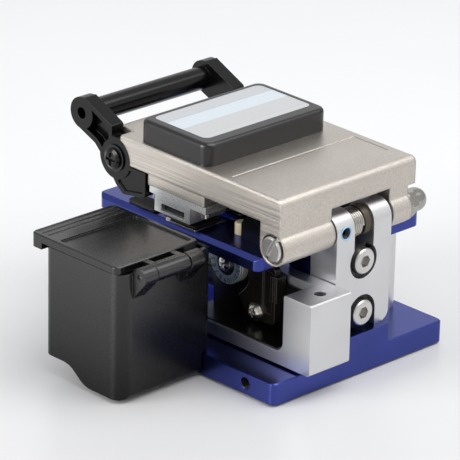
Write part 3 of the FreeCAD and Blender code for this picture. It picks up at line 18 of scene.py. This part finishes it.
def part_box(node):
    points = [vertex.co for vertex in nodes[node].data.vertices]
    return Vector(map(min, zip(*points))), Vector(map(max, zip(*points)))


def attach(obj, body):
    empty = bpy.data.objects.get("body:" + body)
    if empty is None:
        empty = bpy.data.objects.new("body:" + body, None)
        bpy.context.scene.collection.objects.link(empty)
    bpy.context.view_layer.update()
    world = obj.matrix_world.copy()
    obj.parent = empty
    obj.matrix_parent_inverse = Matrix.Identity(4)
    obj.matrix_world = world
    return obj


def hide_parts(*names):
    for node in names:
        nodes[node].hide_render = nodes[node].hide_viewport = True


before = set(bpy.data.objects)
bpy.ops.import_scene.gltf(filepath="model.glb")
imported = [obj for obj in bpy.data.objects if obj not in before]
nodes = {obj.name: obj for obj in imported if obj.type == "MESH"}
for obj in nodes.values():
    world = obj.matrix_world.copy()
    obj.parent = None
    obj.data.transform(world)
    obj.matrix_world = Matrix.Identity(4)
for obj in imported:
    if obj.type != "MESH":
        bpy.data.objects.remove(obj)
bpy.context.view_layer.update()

# %% [markdown]
# ## Step 1: shorthand for shader nodes
# A material is a small network of nodes. Wired one by one, the network hides the idea
# behind it, so a few helpers do the wiring: one makes any node with its inputs, one does
# arithmetic, one gives a noise that uses the whole range, and one mixes two colours.


# %% Make one node
def add(tree, kind, inputs=None, **settings):
    """One shader node with its settings and its input values or links."""
    made = tree.nodes.new(kind)
    for key, value in settings.items():
        setattr(made, key, value)
    for key, value in (inputs or {}).items():
        if isinstance(value, bpy.types.NodeSocket):
            tree.links.new(value, made.inputs[key])
        else:
            made.inputs[key].default_value = value
    return made


def rgba(colour):
    """Colour with full opacity, as colour sockets want it."""
    return (colour[0], colour[1], colour[2], 1.0)


# %% Arithmetic and range
def math_node(tree, operation, a, b):
    return add(tree, "ShaderNodeMath", {0: a, 1: b}, operation=operation).outputs[0]


def remap(tree, value, low, high, start=0.0, end=1.0, **settings):
    """Value between start and end, moved to the range low to high."""
    made = add(tree, "ShaderNodeMapRange", {"Value": value, "From Min": start, "From Max": end,
                                            "To Min": low, "To Max": high}, **settings)
    return made.outputs["Result"]


def scale_vector(tree, vector, factor):
    return add(tree, "ShaderNodeVectorMath", {0: vector, "Scale": factor},
               operation="SCALE").outputs[0]


# %% Where a point lies, and which way its face looks
def object_place(tree):
    """Object coordinates: each piece sits at the origin, so these are row coordinates."""
    return add(tree, "ShaderNodeTexCoord").outputs["Object"]


def true_normal(tree):
    return add(tree, "ShaderNodeNewGeometry").outputs["True Normal"]


def split(tree, vector):
    """The X, Y and Z sockets of a vector."""
    return add(tree, "ShaderNodeSeparateXYZ", {"Vector": vector}).outputs


# %% Noise and colour mix
NOISE_LOW, NOISE_HIGH = 0.3, 0.7    # where nearly all of the raw noise lies


def noise(tree, vector, scale, detail=3.0):
    """Noise stretched from its usual middle band to the range 0 to 1."""
    raw = add(tree, "ShaderNodeTexNoise", {"Vector": vector, "Scale": scale, "Detail": detail})
    return remap(tree, raw.outputs["Fac"], 0.0, 1.0, NOISE_LOW, NOISE_HIGH)


def mix_colour(tree, factor, a, b):
    made = tree.nodes.new("ShaderNodeMix")
    made.data_type = "RGBA"
    for socket, value in ((made.inputs[0], factor), (made.inputs[6], a), (made.inputs[7], b)):
        if isinstance(value, bpy.types.NodeSocket):
            tree.links.new(value, socket)
        else:
            socket.default_value = value
    return made.outputs[2]


# %% [markdown]
# ## Step 2: a finish builder
# No real surface is one flat colour. Three things make a finish believable: its tone
# drifts a little from place to place, its edges are lighter, partly rubbed by handling
# and partly a painted highlight where a rounded edge catches the light, and a fine grain
# breaks up its shine. The edges are found without any texture: a Bevel node gives the
# normal of a rounded edge, and where it leaves the true normal, an edge is near.


# %% Tone and edges
EDGE_SHEEN_START, EDGE_SHEEN_FULL = 0.995, 0.8    # how far the two normals agree


def two_tones(tree, place, colour, spread, patch):
    """Base colour: a darker and a lighter tone mixed by a soft noise."""
    low = tuple(c * (1 - spread) for c in colour)
    high = tuple(min(c * (1 + spread), 1.0) for c in colour)
    return mix_colour(tree, noise(tree, place, patch), rgba(low), rgba(high))


def rub_edges(tree, base, colour, amount, rounded):
    """Mix in a brighter tone, wear plus a painted highlight, where the rounded and the true
    normal part.
    """
    facing = add(tree, "ShaderNodeVectorMath", {0: rounded, 1: true_normal(tree)},
                 operation="DOT_PRODUCT").outputs["Value"]
    wear_and_glint = remap(tree, facing, 0.0, amount, EDGE_SHEEN_START, EDGE_SHEEN_FULL)
    # the lighter edge tone is partly wear and partly a painted highlight
    worn_and_lit = tuple(min(c * 1.5 + 0.06, 1.0) for c in colour)
    return mix_colour(tree, wear_and_glint, base, rgba(worn_and_lit))


# %% Grain
BRUSH_STRETCH = {"X": (0.03, 1, 1), "Y": (1, 0.03, 1), "Z": (1, 1, 0.03)}
GRAIN_DEPTH = 0.00004


def grain_height(tree, place, grain, brush):
    """Fine noise, drawn out along the brushed axis if there is one."""
    if brush:
        place = add(tree, "ShaderNodeMapping", {"Vector": place,
                                                "Scale": BRUSH_STRETCH[brush]}).outputs[0]
    return noise(tree, place, grain, 4.0)


# %% The finish itself
def finish(name, colour, roughness, metallic=0.0, spread=0.12, patch=90.0, grain=2600.0,
           bump=0.12, edge=0.35, edge_radius=0.00018, brush=None, vary=0.15, **shader):
    """Material with drifting tone, edges lighter by wear and a painted highlight, and grain in
    its roughness and relief.
    """
    material = bpy.data.materials.new(name)
    material.use_nodes = True
    tree = material.node_tree
    surface = tree.nodes["Principled BSDF"]
    place = object_place(tree)
    rounded = add(tree, "ShaderNodeBevel", {"Radius": edge_radius}, samples=4).outputs[0]
    base = two_tones(tree, place, colour, spread, patch)
    base = rub_edges(tree, base, colour, edge, rounded)
    fine = grain_height(tree, place, grain, brush)
    rough = remap(tree, fine, roughness * (1 - vary), min(roughness * (1 + vary), 1.0))
    relief = add(tree, "ShaderNodeBump", {"Height": fine, "Strength": bump,
                                          "Distance": GRAIN_DEPTH, "Normal": rounded})
    tree.links.new(base, surface.inputs["Base Color"])
    tree.links.new(rough, surface.inputs["Roughness"])
    tree.links.new(relief.outputs[0], surface.inputs["Normal"])
    surface.inputs["Metallic"].default_value = metallic
    for key, value in shader.items():
        surface.inputs[key.replace("_", " ")].default_value = value
    return material


def dress(material, *names):
    """Put one material on every slot of the named CAD nodes."""
    for name in names:
        mesh = nodes[name].data
        mesh.materials.clear()
        mesh.materials.append(material)
    print(material.name, "on", len(names), "solids")


# %% [markdown]
# ## Step 3: metals
# The base and the platform are violet anodised aluminium: dye under a clear hard skin, so
# the tint stays strong and the shine is fairly sharp. Pillar and carriage are milled
# and lightly blasted, which leaves an even satin. The hidden supports keep the lengthwise
# lines of drawn bar. Most metals here use metallic 1 and differ in tint, roughness and
# brushing.

# %% Anodised plates
violet = finish("violet_anodised", (0.052, 0.068, 0.285), 0.25, 1.0, spread=0.06, bump=0.02,
                edge=0.16, edge_radius=0.00035, vary=0.08)
dress(violet, "base_plate", "platform")

# %% Bare aluminium
satin = finish("satin_aluminium", (0.68, 0.68, 0.69), 0.38, 1.0, spread=0.05, bump=0.10,
               edge=0.5, brush="Z")
milled = finish("milled_aluminium", (0.67, 0.67, 0.68), 0.38, 1.0, spread=0.03, grain=3200.0,
                bump=0.12, edge=0.4, vary=0.08)
dress(satin, "support_column", "blade_bracket", "platform_posts", "fibre_guide", "anvil_guide")
dress(milled, "hinge_pillar", "carriage_frame")

# %% [markdown]
# Screws, nuts and pins are nickel or zinc plated steel. Each family has its own tone: the
# clamp frames are pressed and tumbled, the cap nut is turned and polished, the guard's
# screw and washer are warmer, and the rail and truck are blackened against rust.

# %% Bright steels
steel = finish("bright_steel", (0.70, 0.69, 0.67), 0.20, 1.0, spread=0.05, bump=0.06)
frame_steel = finish("clamp_steel", (0.72, 0.73, 0.735), 0.30, 0.85, spread=0.05, bump=0.01)
spring_steel = finish("spring_steel", (0.62, 0.59, 0.54), 0.22, 1.0, spread=0.05, bump=0.0,
                      edge=0.0)
dress(steel, "blade_axle", "blade_screw", "bin_dowels", "bin_hinge_pin", "platform_screws",
      "guide_screws", "clamp_pins", "anvil", "lower_clamp_seats")
dress(frame_steel, "clamp_frame_right", "clamp_frame_left")
dress(spring_steel, "hinge_spring")

# %% Screw and nut steels
screw_steel = finish("screw_steel", (0.62, 0.61, 0.59), 0.32, 1.0, spread=0.08, bump=0.04)
nut_steel = finish("nut_steel", (0.40, 0.385, 0.35), 0.16, 1.0, spread=0.05, bump=0.0,
                   edge=0.5, edge_radius=0.00035)
guard_steel = finish("guard_steel", (0.80, 0.77, 0.68), 0.18, 1.0, spread=0.06, bump=0.0,
                     edge=0.3)
dress(screw_steel, "pillar_screws", "hinge_screw")
dress(nut_steel, "hinge_washer", "acorn_nut")
dress(guard_steel, "guard_screw")

# %% Dark steel, carbide and bronze
dark_steel = finish("dark_steel", (0.05, 0.05, 0.055), 0.32, 1.0, spread=0.15, bump=0.04)
carbide = finish("ground_carbide", (0.50, 0.51, 0.53), 0.16, 1.0, spread=0.05, bump=0.10)
champagne = finish("champagne_metal", (0.72, 0.66, 0.54), 0.40, 0.4, spread=0.05, bump=0.05)
bush_bronze = finish("bush_bronze", (0.10, 0.085, 0.065), 0.40, 0.6, spread=0.1, bump=0.02)
dress(dark_steel, "slide_rail", "slide_truck", "pillar_set_screw", "rail_screws",
      "truck_screws", "bail_washers", "blade_hub")
dress(carbide, "blade_wheel")
dress(champagne, "blade_drum")
dress(bush_bronze, "spring_bush")

# %% [markdown]
# ## Step 4: plastics and rubbers
# Black plastics differ less in colour than in shine. The pad is satin, the bail and the
# clamp holders are plain mouldings, the scrap box is smoother still, and the rubbers are
# dull and rough. The specular level sets how much of the pale floor mirrors in each
# black.

# %% Black mouldings
satin_black = finish("satin_black", (0.004, 0.004, 0.0045), 0.30, spread=0.15, bump=0.01,
                     edge=0.05, vary=0.05, Specular_IOR_Level=0.62)
moulded_black = finish("moulded_black", (0.0020, 0.0021, 0.0026), 0.21, spread=0.15,
                       grain=1500.0, bump=0.01, edge=0.03, vary=0.05, Specular_IOR_Level=0.33)
dress(satin_black, "press_pad")
# screw_cups are black rings at the counterbore floors: painted shade in the gap round each cap
# screw head.
dress(moulded_black, "bail", "clamp_holder_right", "clamp_holder_left", "inner_cover",
      "screw_cups", "carriage_liner", "bail_screws")

# %% Rubber, nylon, smoked guard and dial paint
rubber = finish("rubber", (0.013, 0.013, 0.013), 0.75, spread=0.3, grain=1800.0, bump=0.4,
                edge=0.05)
cream = finish("cream_nylon", (0.62, 0.55, 0.38), 0.42, spread=0.06, bump=0.1, edge=0.15,
               Subsurface_Weight=0.15, Subsurface_Scale=0.001)
# The guard's edge=1.0 is a painted highlight: a bright outline along its glossy edges.
smoked = finish("smoked_plastic", (0.016, 0.013, 0.010), 0.14, spread=0.2, bump=0.02, edge=1.0,
                edge_radius=0.00032)
dial_paint = finish("dial_paint", (0.34, 0.42, 0.52), 0.30, 0.4, spread=0.06, bump=0.05)
dress(rubber, "non_slip_sheet", "lower_pads", "clamp_rubber_right", "clamp_rubber_left",
      "bail_rest")
dress(cream, "nylon_bumper")
dress(smoked, "blade_guard")
dress(dial_paint, "blade_dial")

# %% [markdown]
# Lower down the scrap box mirrors the shaded floor beside it, higher up a brighter view.
# One smooth rise of the specular level with height paints that light: a painted shade,
# dull near the table, and a painted sheen, glossy under the lid.

# %% Scrap box
bin_black = finish("bin_black", (0.0025, 0.0026, 0.0028), 0.27, spread=0.10, grain=1200.0,
                   bump=0.0, edge=0.02, edge_radius=0.0003, vary=0.02)


def height_gloss(material, low, high, from_z, to_z):
    """Specular level low at from_z, high at to_z and even between."""
    tree = material.node_tree
    height = split(tree, object_place(tree))["Z"]
    tree.links.new(remap(tree, height, low, high, from_z, to_z),
                   tree.nodes["Principled BSDF"].inputs["Specular IOR Level"])


# Painted shade near the table and painted sheen under the lid, set by height alone.
height_gloss(bin_black, low=0.24, high=0.74, from_z=0.002, to_z=0.036)
dress(bin_black, "bin_box", "bin_lid")

# %% [markdown]
# ## Step 5: the lever's nickel finish
# The cast lever is blasted on its top and brushed lengthwise on its sides. Two materials
# would need the mesh split into regions; one material can do both, because the true
# normal's X part tells a side face from the rest. There the grain is drawn out along Y,
# and the same grain sets relief, roughness and a little of the tone.

# %% Two-way nickel
BLAST_GRAIN = 3000.0
LINE_GRAIN = 3600.0
LINE_STRETCH = (1, 0.006, 1)
SIDE_FACING = 0.7
NICKEL_TONE = (0.82, 1.11)
NICKEL_ROUGHNESS = (0.30, 0.46)


def lever_nickel():
    material = finish("champagne_nickel", (0.60, 0.555, 0.505), 0.36, 1.0, spread=0.03,
                      grain=BLAST_GRAIN, bump=0.5, edge=0.06, edge_radius=0.0008)
    tree = material.node_tree
    surface = tree.nodes["Principled BSDF"]
    relief = tree.nodes["Bump"].inputs["Height"]
    along = add(tree, "ShaderNodeMapping", {"Vector": object_place(tree),
                                            "Scale": LINE_STRETCH}).outputs[0]
    lines = noise(tree, along, LINE_GRAIN, 4.0)
    sideways = split(tree, true_normal(tree))["X"]
    side = add(tree, "ShaderNodeMath", {0: sideways}, operation="ABSOLUTE").outputs[0]
    side = math_node(tree, "GREATER_THAN", side, SIDE_FACING)
    speckle = relief.links[0].from_socket
    height = add(tree, "ShaderNodeMix", {0: side, 2: speckle, 3: lines}).outputs[0]
    base = surface.inputs["Base Color"].links[0].from_socket
    tone = scale_vector(tree, base, remap(tree, height, *NICKEL_TONE))
    tree.links.new(height, relief)
    rough = remap(tree, height, *NICKEL_ROUGHNESS)
    tree.links.new(rough, surface.inputs["Roughness"])
    tree.links.new(tone, surface.inputs["Base Color"])
    return material


dress(lever_nickel(), "lever_casting", "clamp_block_right", "clamp_block_left")

# %% [markdown]
# ## Step 6: the label
# A silver film lies in the pad's recess. It has pale printed bands and no words. The bands
# are steps across the label's short side, and a colour ramp with constant steps draws
# them from the plate's own box, so they follow the plate if its size changes.

# %% Banded label film
GREY_FILM = (0.51, 0.52, 0.535)
BAND_STEPS = [(0.0, GREY_FILM), (0.245, (0.44, 0.48, 0.54)), (0.26, (0.60, 0.65, 0.70)),
              (0.55, (0.47, 0.51, 0.56)), (0.565, (0.53, 0.53, 0.535)),
              (0.87, (0.47, 0.49, 0.51)), (0.885, (0.54, 0.54, 0.545))]


def band_ramp(tree, share):
    """Colour ramp whose colour jumps at each step's share of the label's width."""
    bands = add(tree, "ShaderNodeValToRGB", {"Fac": share})
    ramp = bands.color_ramp
    ramp.interpolation = "CONSTANT"
    for share_at, _ in BAND_STEPS[2:]:
        ramp.elements.new(share_at)
    for element, (share_at, tint) in zip(ramp.elements, BAND_STEPS):
        element.position = share_at
        element.color = rgba(tint)
    return bands.outputs["Color"]


def label_film():
    (x0, y0, z0), (x1, y1, z1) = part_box("label_plate")
    material = finish("label_film", GREY_FILM, 0.38, 0.35, bump=0.03)
    tree = material.node_tree
    across = split(tree, object_place(tree))["Y"]
    bands = band_ramp(tree, remap(tree, across, 0.0, 1.0, y0, y1))
    tree.links.new(bands, tree.nodes["Principled BSDF"].inputs["Base Color"])
    return material


dress(label_film(), "label_plate")

# %% [markdown]
# ## Step 7: round wire as a surface
# Thread turns, the hinge spring and a ring of thread lock are all round wire bent into a
# coil. Such a surface is a function of two parameters: u runs along the coil, and v runs
# round the wire. Worked out as whole arrays, it needs no modelling by hand, and the
# same two helpers serve all four pieces.


# %% Tube points
def tube(path, radius, axis, sides=10):
    """p(u, v) = path(u) + radius (side cos v + other sin v), side and other square to the path.

    side is square to the coil's axis too, so it turns steadily and never flips.
    """
    step = np.gradient(path, axis=0)
    step /= np.linalg.norm(step, axis=1, keepdims=True)
    side = np.cross(step, axis)
    side /= np.linalg.norm(side, axis=1, keepdims=True)
    other = np.cross(step, side)
    v = np.linspace(0, 2 * math.pi, sides, endpoint=False)
    spokes = (side[:, None] * np.cos(v)[None, :, None]
              + other[:, None] * np.sin(v)[None, :, None])
    return path[:, None] + spokes * radius


# %% Grid to piece
def new_piece(name, mesh, material, body):
    """Object for a finished mesh, riding on a body."""
    mesh.materials.append(material)
    piece = bpy.data.objects.new(name, mesh)
    bpy.context.collection.objects.link(piece)
    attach(piece, body)
    print(name, "has", len(mesh.vertices), "points")
    return piece


def grid_piece(name, points, material, body):
    """Smooth mesh from points[u, v, xyz], where v closes into a ring."""
    rows, cols = points.shape[:2]
    u = np.arange(rows - 1)[:, None]
    v = np.arange(cols)[None, :]
    w = (v + 1) % cols
    quads = np.stack([u * cols + v, u * cols + w, (u + 1) * cols + w, (u + 1) * cols + v], -1)
    mesh = bpy.data.meshes.new(name)
    mesh.from_pydata(points.reshape(-1, 3).tolist(), [], quads.reshape(-1, 4).tolist())
    mesh.shade_smooth()
    return new_piece(name, mesh, material, body)


# %% [markdown]
# ## Step 8: thread turns
# Two tapped M4 holes stand open, one in the base's side and one in the carriage's top. In
# CAD their bores are plain, as a drawing shows them. A thin dark helix on the bore's
# wall gives the glint of thread turns that the eye looks for in the mouth of a hole.

# %% Helix on a bore's wall
M4_PITCH = 0.0007
THREAD_BORE = 0.00160
THREAD_DEPTH = 0.005
RIDGE_SHARE = 0.2     # ridge radius as a share of the pitch
START_SHARE = 0.4     # first turn below the mouth, as a share of the pitch
STEPS_PER_TURN = 40


def square_to(axis):
    """Two unit vectors square to an axis and to each other."""
    axis = np.array(axis, float)
    first = np.cross(axis, [0, 0, 1.0] if abs(axis[2]) < 0.9 else [1.0, 0, 0])
    first /= np.linalg.norm(first)
    return first, np.cross(axis, first)


def thread(name, mouth, axis, body):
    """p(t) = mouth - axis (depth t + start) + bore (a cos + b sin), turned depth/pitch times."""
    a, b = square_to(axis)
    turns = THREAD_DEPTH / M4_PITCH
    t = np.linspace(0.0, 1.0, int(turns * STEPS_PER_TURN))
    angle = 2 * math.pi * turns * t
    line = (np.array(mouth) - np.outer(t * THREAD_DEPTH + M4_PITCH * START_SHARE, axis)
            + THREAD_BORE * (np.outer(np.cos(angle), a) + np.outer(np.sin(angle), b)))
    points = tube(line, M4_PITCH * RIDGE_SHARE, axis, 6)
    return grid_piece(name, points, dark_steel, body)


# %% The two open holes
SIDE_HOLE_Y, SIDE_HOLE_Z = 0.0221, 0.0036
TOP_HOLE_X, TOP_HOLE_Y = 0.0147, 0.03145
side_mouth = (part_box("base_plate")[1][0], SIDE_HOLE_Y, SIDE_HOLE_Z)
top_mouth = (TOP_HOLE_X, TOP_HOLE_Y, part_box("carriage_frame")[1][2])
thread("side_hole_thread", side_mouth, (1.0, 0, 0), "base")
thread("top_hole_thread", top_mouth, (0, 0, 1.0), "carriage")

# %% [markdown]
# ## Step 9: the hinge spring
# A torsion spring round the shaft lifts the lever. The CAD coil is faceted to stay light,
# and the eye sees facets on wire at once, so a smooth round wire of the same outer size
# and turns stands in its place. It takes its length and radius from the CAD coil's box.

# %% Smooth spring wire
SPRING_TURNS = 5.5
SPRING_WIRE_R = 0.00027
STEPS_PER_COIL = 48


def hinge_spring():
    """x runs along the shaft from end to end while the wire circles it."""
    (x0, y0, z0), (x1, y1, z1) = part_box("hinge_spring")
    radius = (z1 - z0) / 2 - SPRING_WIRE_R
    t = np.linspace(0.0, 1.0, int(SPRING_TURNS * STEPS_PER_COIL))
    angle = 2 * math.pi * SPRING_TURNS * t
    path = np.stack([x0 + SPRING_WIRE_R + t * (x1 - x0 - 2 * SPRING_WIRE_R),
                     (y0 + y1) / 2 + radius * np.cos(angle),
                     (z0 + z1) / 2 + radius * np.sin(angle)], -1)
    points = tube(path, SPRING_WIRE_R, (1.0, 0, 0), 12)
    piece = grid_piece("hinge_spring_coil", points, spring_steel, "base")
    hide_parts("hinge_spring")


hinge_spring()

# %% [markdown]
# ## Step 10: the ring of thread lock
# A drop of blue thread lock holds the set screw of the hinge shaft, and what squeezed out
# dried as an uneven ring round the hole. A ring whose radius swells three times in a
# turn is enough to tell a dried drop from a machined part.

# %% Ring round the set screw
LOCK_R = 0.00172
LOCK_SWELL = 0.00004
LOCK_LOBES, LOCK_TURN = 3, 0.6
LOCK_BEAD_R = 0.00022
LOCK_SUNK = 0.00008    # the bead's middle lies this far behind the pillar's face
lock_blue = finish("thread_lock", (0.28, 0.55, 0.75), 0.35, spread=0.15, bump=0.3, edge=0.0)


def lock_ring():
    """Ring of radius r(a) = R + swell sin(lobes a + turn) near the pillar's rear face."""
    (x0, y0, z0), (x1, y1, z1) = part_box("pillar_set_screw")
    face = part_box("hinge_pillar")[1][1] - LOCK_SUNK
    angle = np.linspace(0, 2 * math.pi, 73)
    r = LOCK_R + LOCK_SWELL * np.sin(LOCK_LOBES * angle + LOCK_TURN)
    path = np.stack([(x0 + x1) / 2 + r * np.cos(angle), np.full_like(angle, face),
                     (z0 + z1) / 2 + r * np.sin(angle)], -1)
    points = tube(path, LOCK_BEAD_R, (0, 1.0, 0))
    return grid_piece("thread_lock_ring", points, lock_blue, "base")


lock_ring()

# %% [markdown]
# ## Step 11: the dial's numbers
# The blade dulls at one spot, so it is turned a step after many cuts, and a ring of
# numbers from 1 to 16 keeps count of the steps. Each number is a text curve made a mesh,
# stood up from the XY plane into the dial's face and turned to its place. All are
# joined into one piece that rides on the blade.

# %% Numerals round the dial
DIAL_STEPS = 16
NUMERAL_SIZE = 0.0021
NUMERAL_THICK = 0.00002
NUMERAL_RING = 0.81    # share of the dial's radius
ink = finish("dial_ink", (0.015, 0.017, 0.02), 0.5, spread=0.2, bump=0.0, edge=0.0)


def numeral(number):
    """Mesh of one centred number in the XY plane."""
    text = bpy.data.curves.new("numeral", "FONT")
    text.body = str(number)
    text.size = NUMERAL_SIZE
    text.align_x = "CENTER"
    text.align_y = "CENTER"
    text.extrude = NUMERAL_THICK
    holder = bpy.data.objects.new("numeral", text)
    mesh = bpy.data.meshes.new_from_object(holder)
    bpy.data.objects.remove(holder)
    bpy.data.curves.remove(text)
    return mesh


def dial_numbers():
    """Numbers turned by equal steps about the dial's axis, joined into one mesh."""
    (x0, y0, z0), (x1, y1, z1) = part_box("blade_dial")
    centre = Vector((x1, (y0 + y1) / 2, (z0 + z1) / 2))
    radius = (z1 - z0) / 2 * NUMERAL_RING
    # text X becomes +Y and text Y becomes +Z, so the number faces +X
    stand = Matrix(((0, 0, 1, 0), (1, 0, 0, 0), (0, 1, 0, 0), (0, 0, 0, 1)))
    lift = Matrix.Translation((NUMERAL_THICK, 0, radius))
    ring = bmesh.new()
    for k in range(DIAL_STEPS):
        turn = Matrix.Rotation(2 * math.pi * k / DIAL_STEPS, 4, "X")
        mesh = numeral(k + 1)
        mesh.transform(Matrix.Translation(centre) @ turn @ lift @ stand)
        ring.from_mesh(mesh)
        bpy.data.meshes.remove(mesh)
    joined = bpy.data.meshes.new("dial_numbers")
    ring.to_mesh(joined)
    ring.free()
    new_piece("dial_numbers", joined, ink, "blade")


dial_numbers()

# %% [markdown]
# ## Step 12: the floor
# The cleaver stands on a pale sheet that runs up out of view, as in a product studio. The
# sheet is a little glossy, so the base mirrors softly in it. Its tone is a little darker
# towards the camera, where the dark part of a studio would mirror in it.

# %% Floor sheet
FLOOR_HALF = 4.0
FLOOR_TONES = ((0.70, 0.70, 0.705), (0.73, 0.73, 0.73))
FLOOR_FAR, FLOOR_NEAR = (-0.23, 1.03), (0.14, 0.86)    # (x + y, share of the tone)
FLOOR_PATCH = 6.0


def floor_material():
    """Two pale tones in large patches, darker where x + y grows."""
    material = bpy.data.materials.new("pale_floor")
    material.use_nodes = True
    tree = material.node_tree
    surface = tree.nodes["Principled BSDF"]
    place = object_place(tree)
    tint = mix_colour(tree, noise(tree, place, FLOOR_PATCH), *map(rgba, FLOOR_TONES))
    parts = split(tree, place)
    ahead = math_node(tree, "ADD", parts["X"], parts["Y"])
    fall = remap(tree, ahead, FLOOR_FAR[1], FLOOR_NEAR[1], FLOOR_FAR[0], FLOOR_NEAR[0],
                 interpolation_type="SMOOTHSTEP")
    tree.links.new(scale_vector(tree, tint, fall), surface.inputs["Base Color"])
    surface.inputs["Roughness"].default_value = 0.32
    surface.inputs["Specular IOR Level"].default_value = 0.35
    return material


def floor():
    corners = [(-1, -1), (1, -1), (1, 1), (-1, 1)]
    mesh = bpy.data.meshes.new("floor")
    mesh.from_pydata([(x * FLOOR_HALF, y * FLOOR_HALF, 0) for x, y in corners], [],
                     [(0, 1, 2, 3)])
    mesh.materials.append(floor_material())
    piece = bpy.data.objects.new("floor", mesh)
    bpy.context.collection.objects.link(piece)


floor()
print("floor:", 2 * FLOOR_HALF, "m square")

# %% [markdown]
# ## Step 13: light
# Large soft sources suit metal, because metal shows what it mirrors. A white sky fills
# everything. One box overhead gives the tops their tone, a strong box on the scrap-box side
# models the side faces, and two weak ones draw the rear edges and the far rims. The
# boxes stay out of the camera's own view. The Standard view transform keeps the blacks
# black and the paper white.

# %% Sky
SKY_COLOUR = (0.97, 0.98, 1.0)
SKY_STRENGTH = 0.60
scene = bpy.context.scene
scene.view_settings.view_transform = "Standard"
scene.view_settings.look = "None"
world = bpy.data.worlds.new("studio")
scene.world = world
world.use_nodes = True
sky = world.node_tree.nodes["Background"].inputs
sky["Color"].default_value = rgba(SKY_COLOUR)
sky["Strength"].default_value = SKY_STRENGTH


# %% Softboxes
AIM = (0.01, -0.005, 0.03)
SOFTBOXES = {    # name: place, width, height, watts
    "top_box": ((-0.15, 0.25, 0.75), 0.7, 0.7, 5.0),
    "rear_box": ((-0.35, 0.75, 0.40), 0.5, 0.6, 0.8),
    "far_box": ((-0.75, -0.78, 0.48), 1.0, 0.6, 0.7),
    "side_box": ((0.80, -0.25, 0.30), 0.5, 0.5, 6.0),
}


def softbox(name, place, wide, high, power):
    lamp = bpy.data.lights.new(name, "AREA")
    lamp.shape = "RECTANGLE"
    lamp.size = wide
    lamp.size_y = high
    lamp.energy = power
    holder = bpy.data.objects.new(name, lamp)
    holder.location = place
    holder.rotation_euler = (Vector(AIM) - Vector(place)).to_track_quat("-Z", "Y").to_euler()
    holder.visible_camera = False
    bpy.context.collection.objects.link(holder)


for name, (place, wide, high, power) in SOFTBOXES.items():
    softbox(name, place, wide, high, power)
print("light:", len(SOFTBOXES), "softboxes and a sky of strength", SKY_STRENGTH)

# %% [markdown]
# ## Step 14: camera
# The lens is long, and stands nearly a metre away behind the hinge and to the scrap-box
# side, so upright edges stay nearly parallel. It is placed in the words of a studio: a
# bearing, a height angle, a roll, a distance, and a small shift of the view.

# %% Camera
BEARING, HEIGHT_ANGLE, ROLL = (math.radians(a) for a in (44.306, 22.311, 1.256))
DISTANCE = 0.94308
SHIFT_RIGHT, SHIFT_UP = -0.011479, 0.004656
LOOK_AT = Vector((0, -0.0004, 0.0256))
LENS, SENSOR = 279.4, 36.0    # millimetres


def camera():
    """Camera that looks along -back, with right and up turned by the roll."""
    flat = math.cos(HEIGHT_ANGLE)
    back = Vector((math.sin(BEARING) * flat, math.cos(BEARING) * flat,
                   math.sin(HEIGHT_ANGLE)))
    level = Vector((0, 0, 1)).cross(back).normalized()
    upright = back.cross(level)
    right = math.cos(ROLL) * level + math.sin(ROLL) * upright
    up = math.cos(ROLL) * upright - math.sin(ROLL) * level
    eye = LOOK_AT + DISTANCE * back + SHIFT_RIGHT * right + SHIFT_UP * up
    data = bpy.data.cameras.new("camera")
    data.sensor_width = SENSOR
    data.lens = LENS
    data.clip_start = 0.01
    data.clip_end = 20.0
    holder = bpy.data.objects.new("camera", data)
    turned = Matrix((right, up, back)).transposed().to_4x4()
    holder.matrix_world = Matrix.Translation(eye) @ turned
    bpy.context.collection.objects.link(holder)
    bpy.context.scene.camera = holder
    return eye


print("camera stands at", [round(v, 3) for v in camera()])
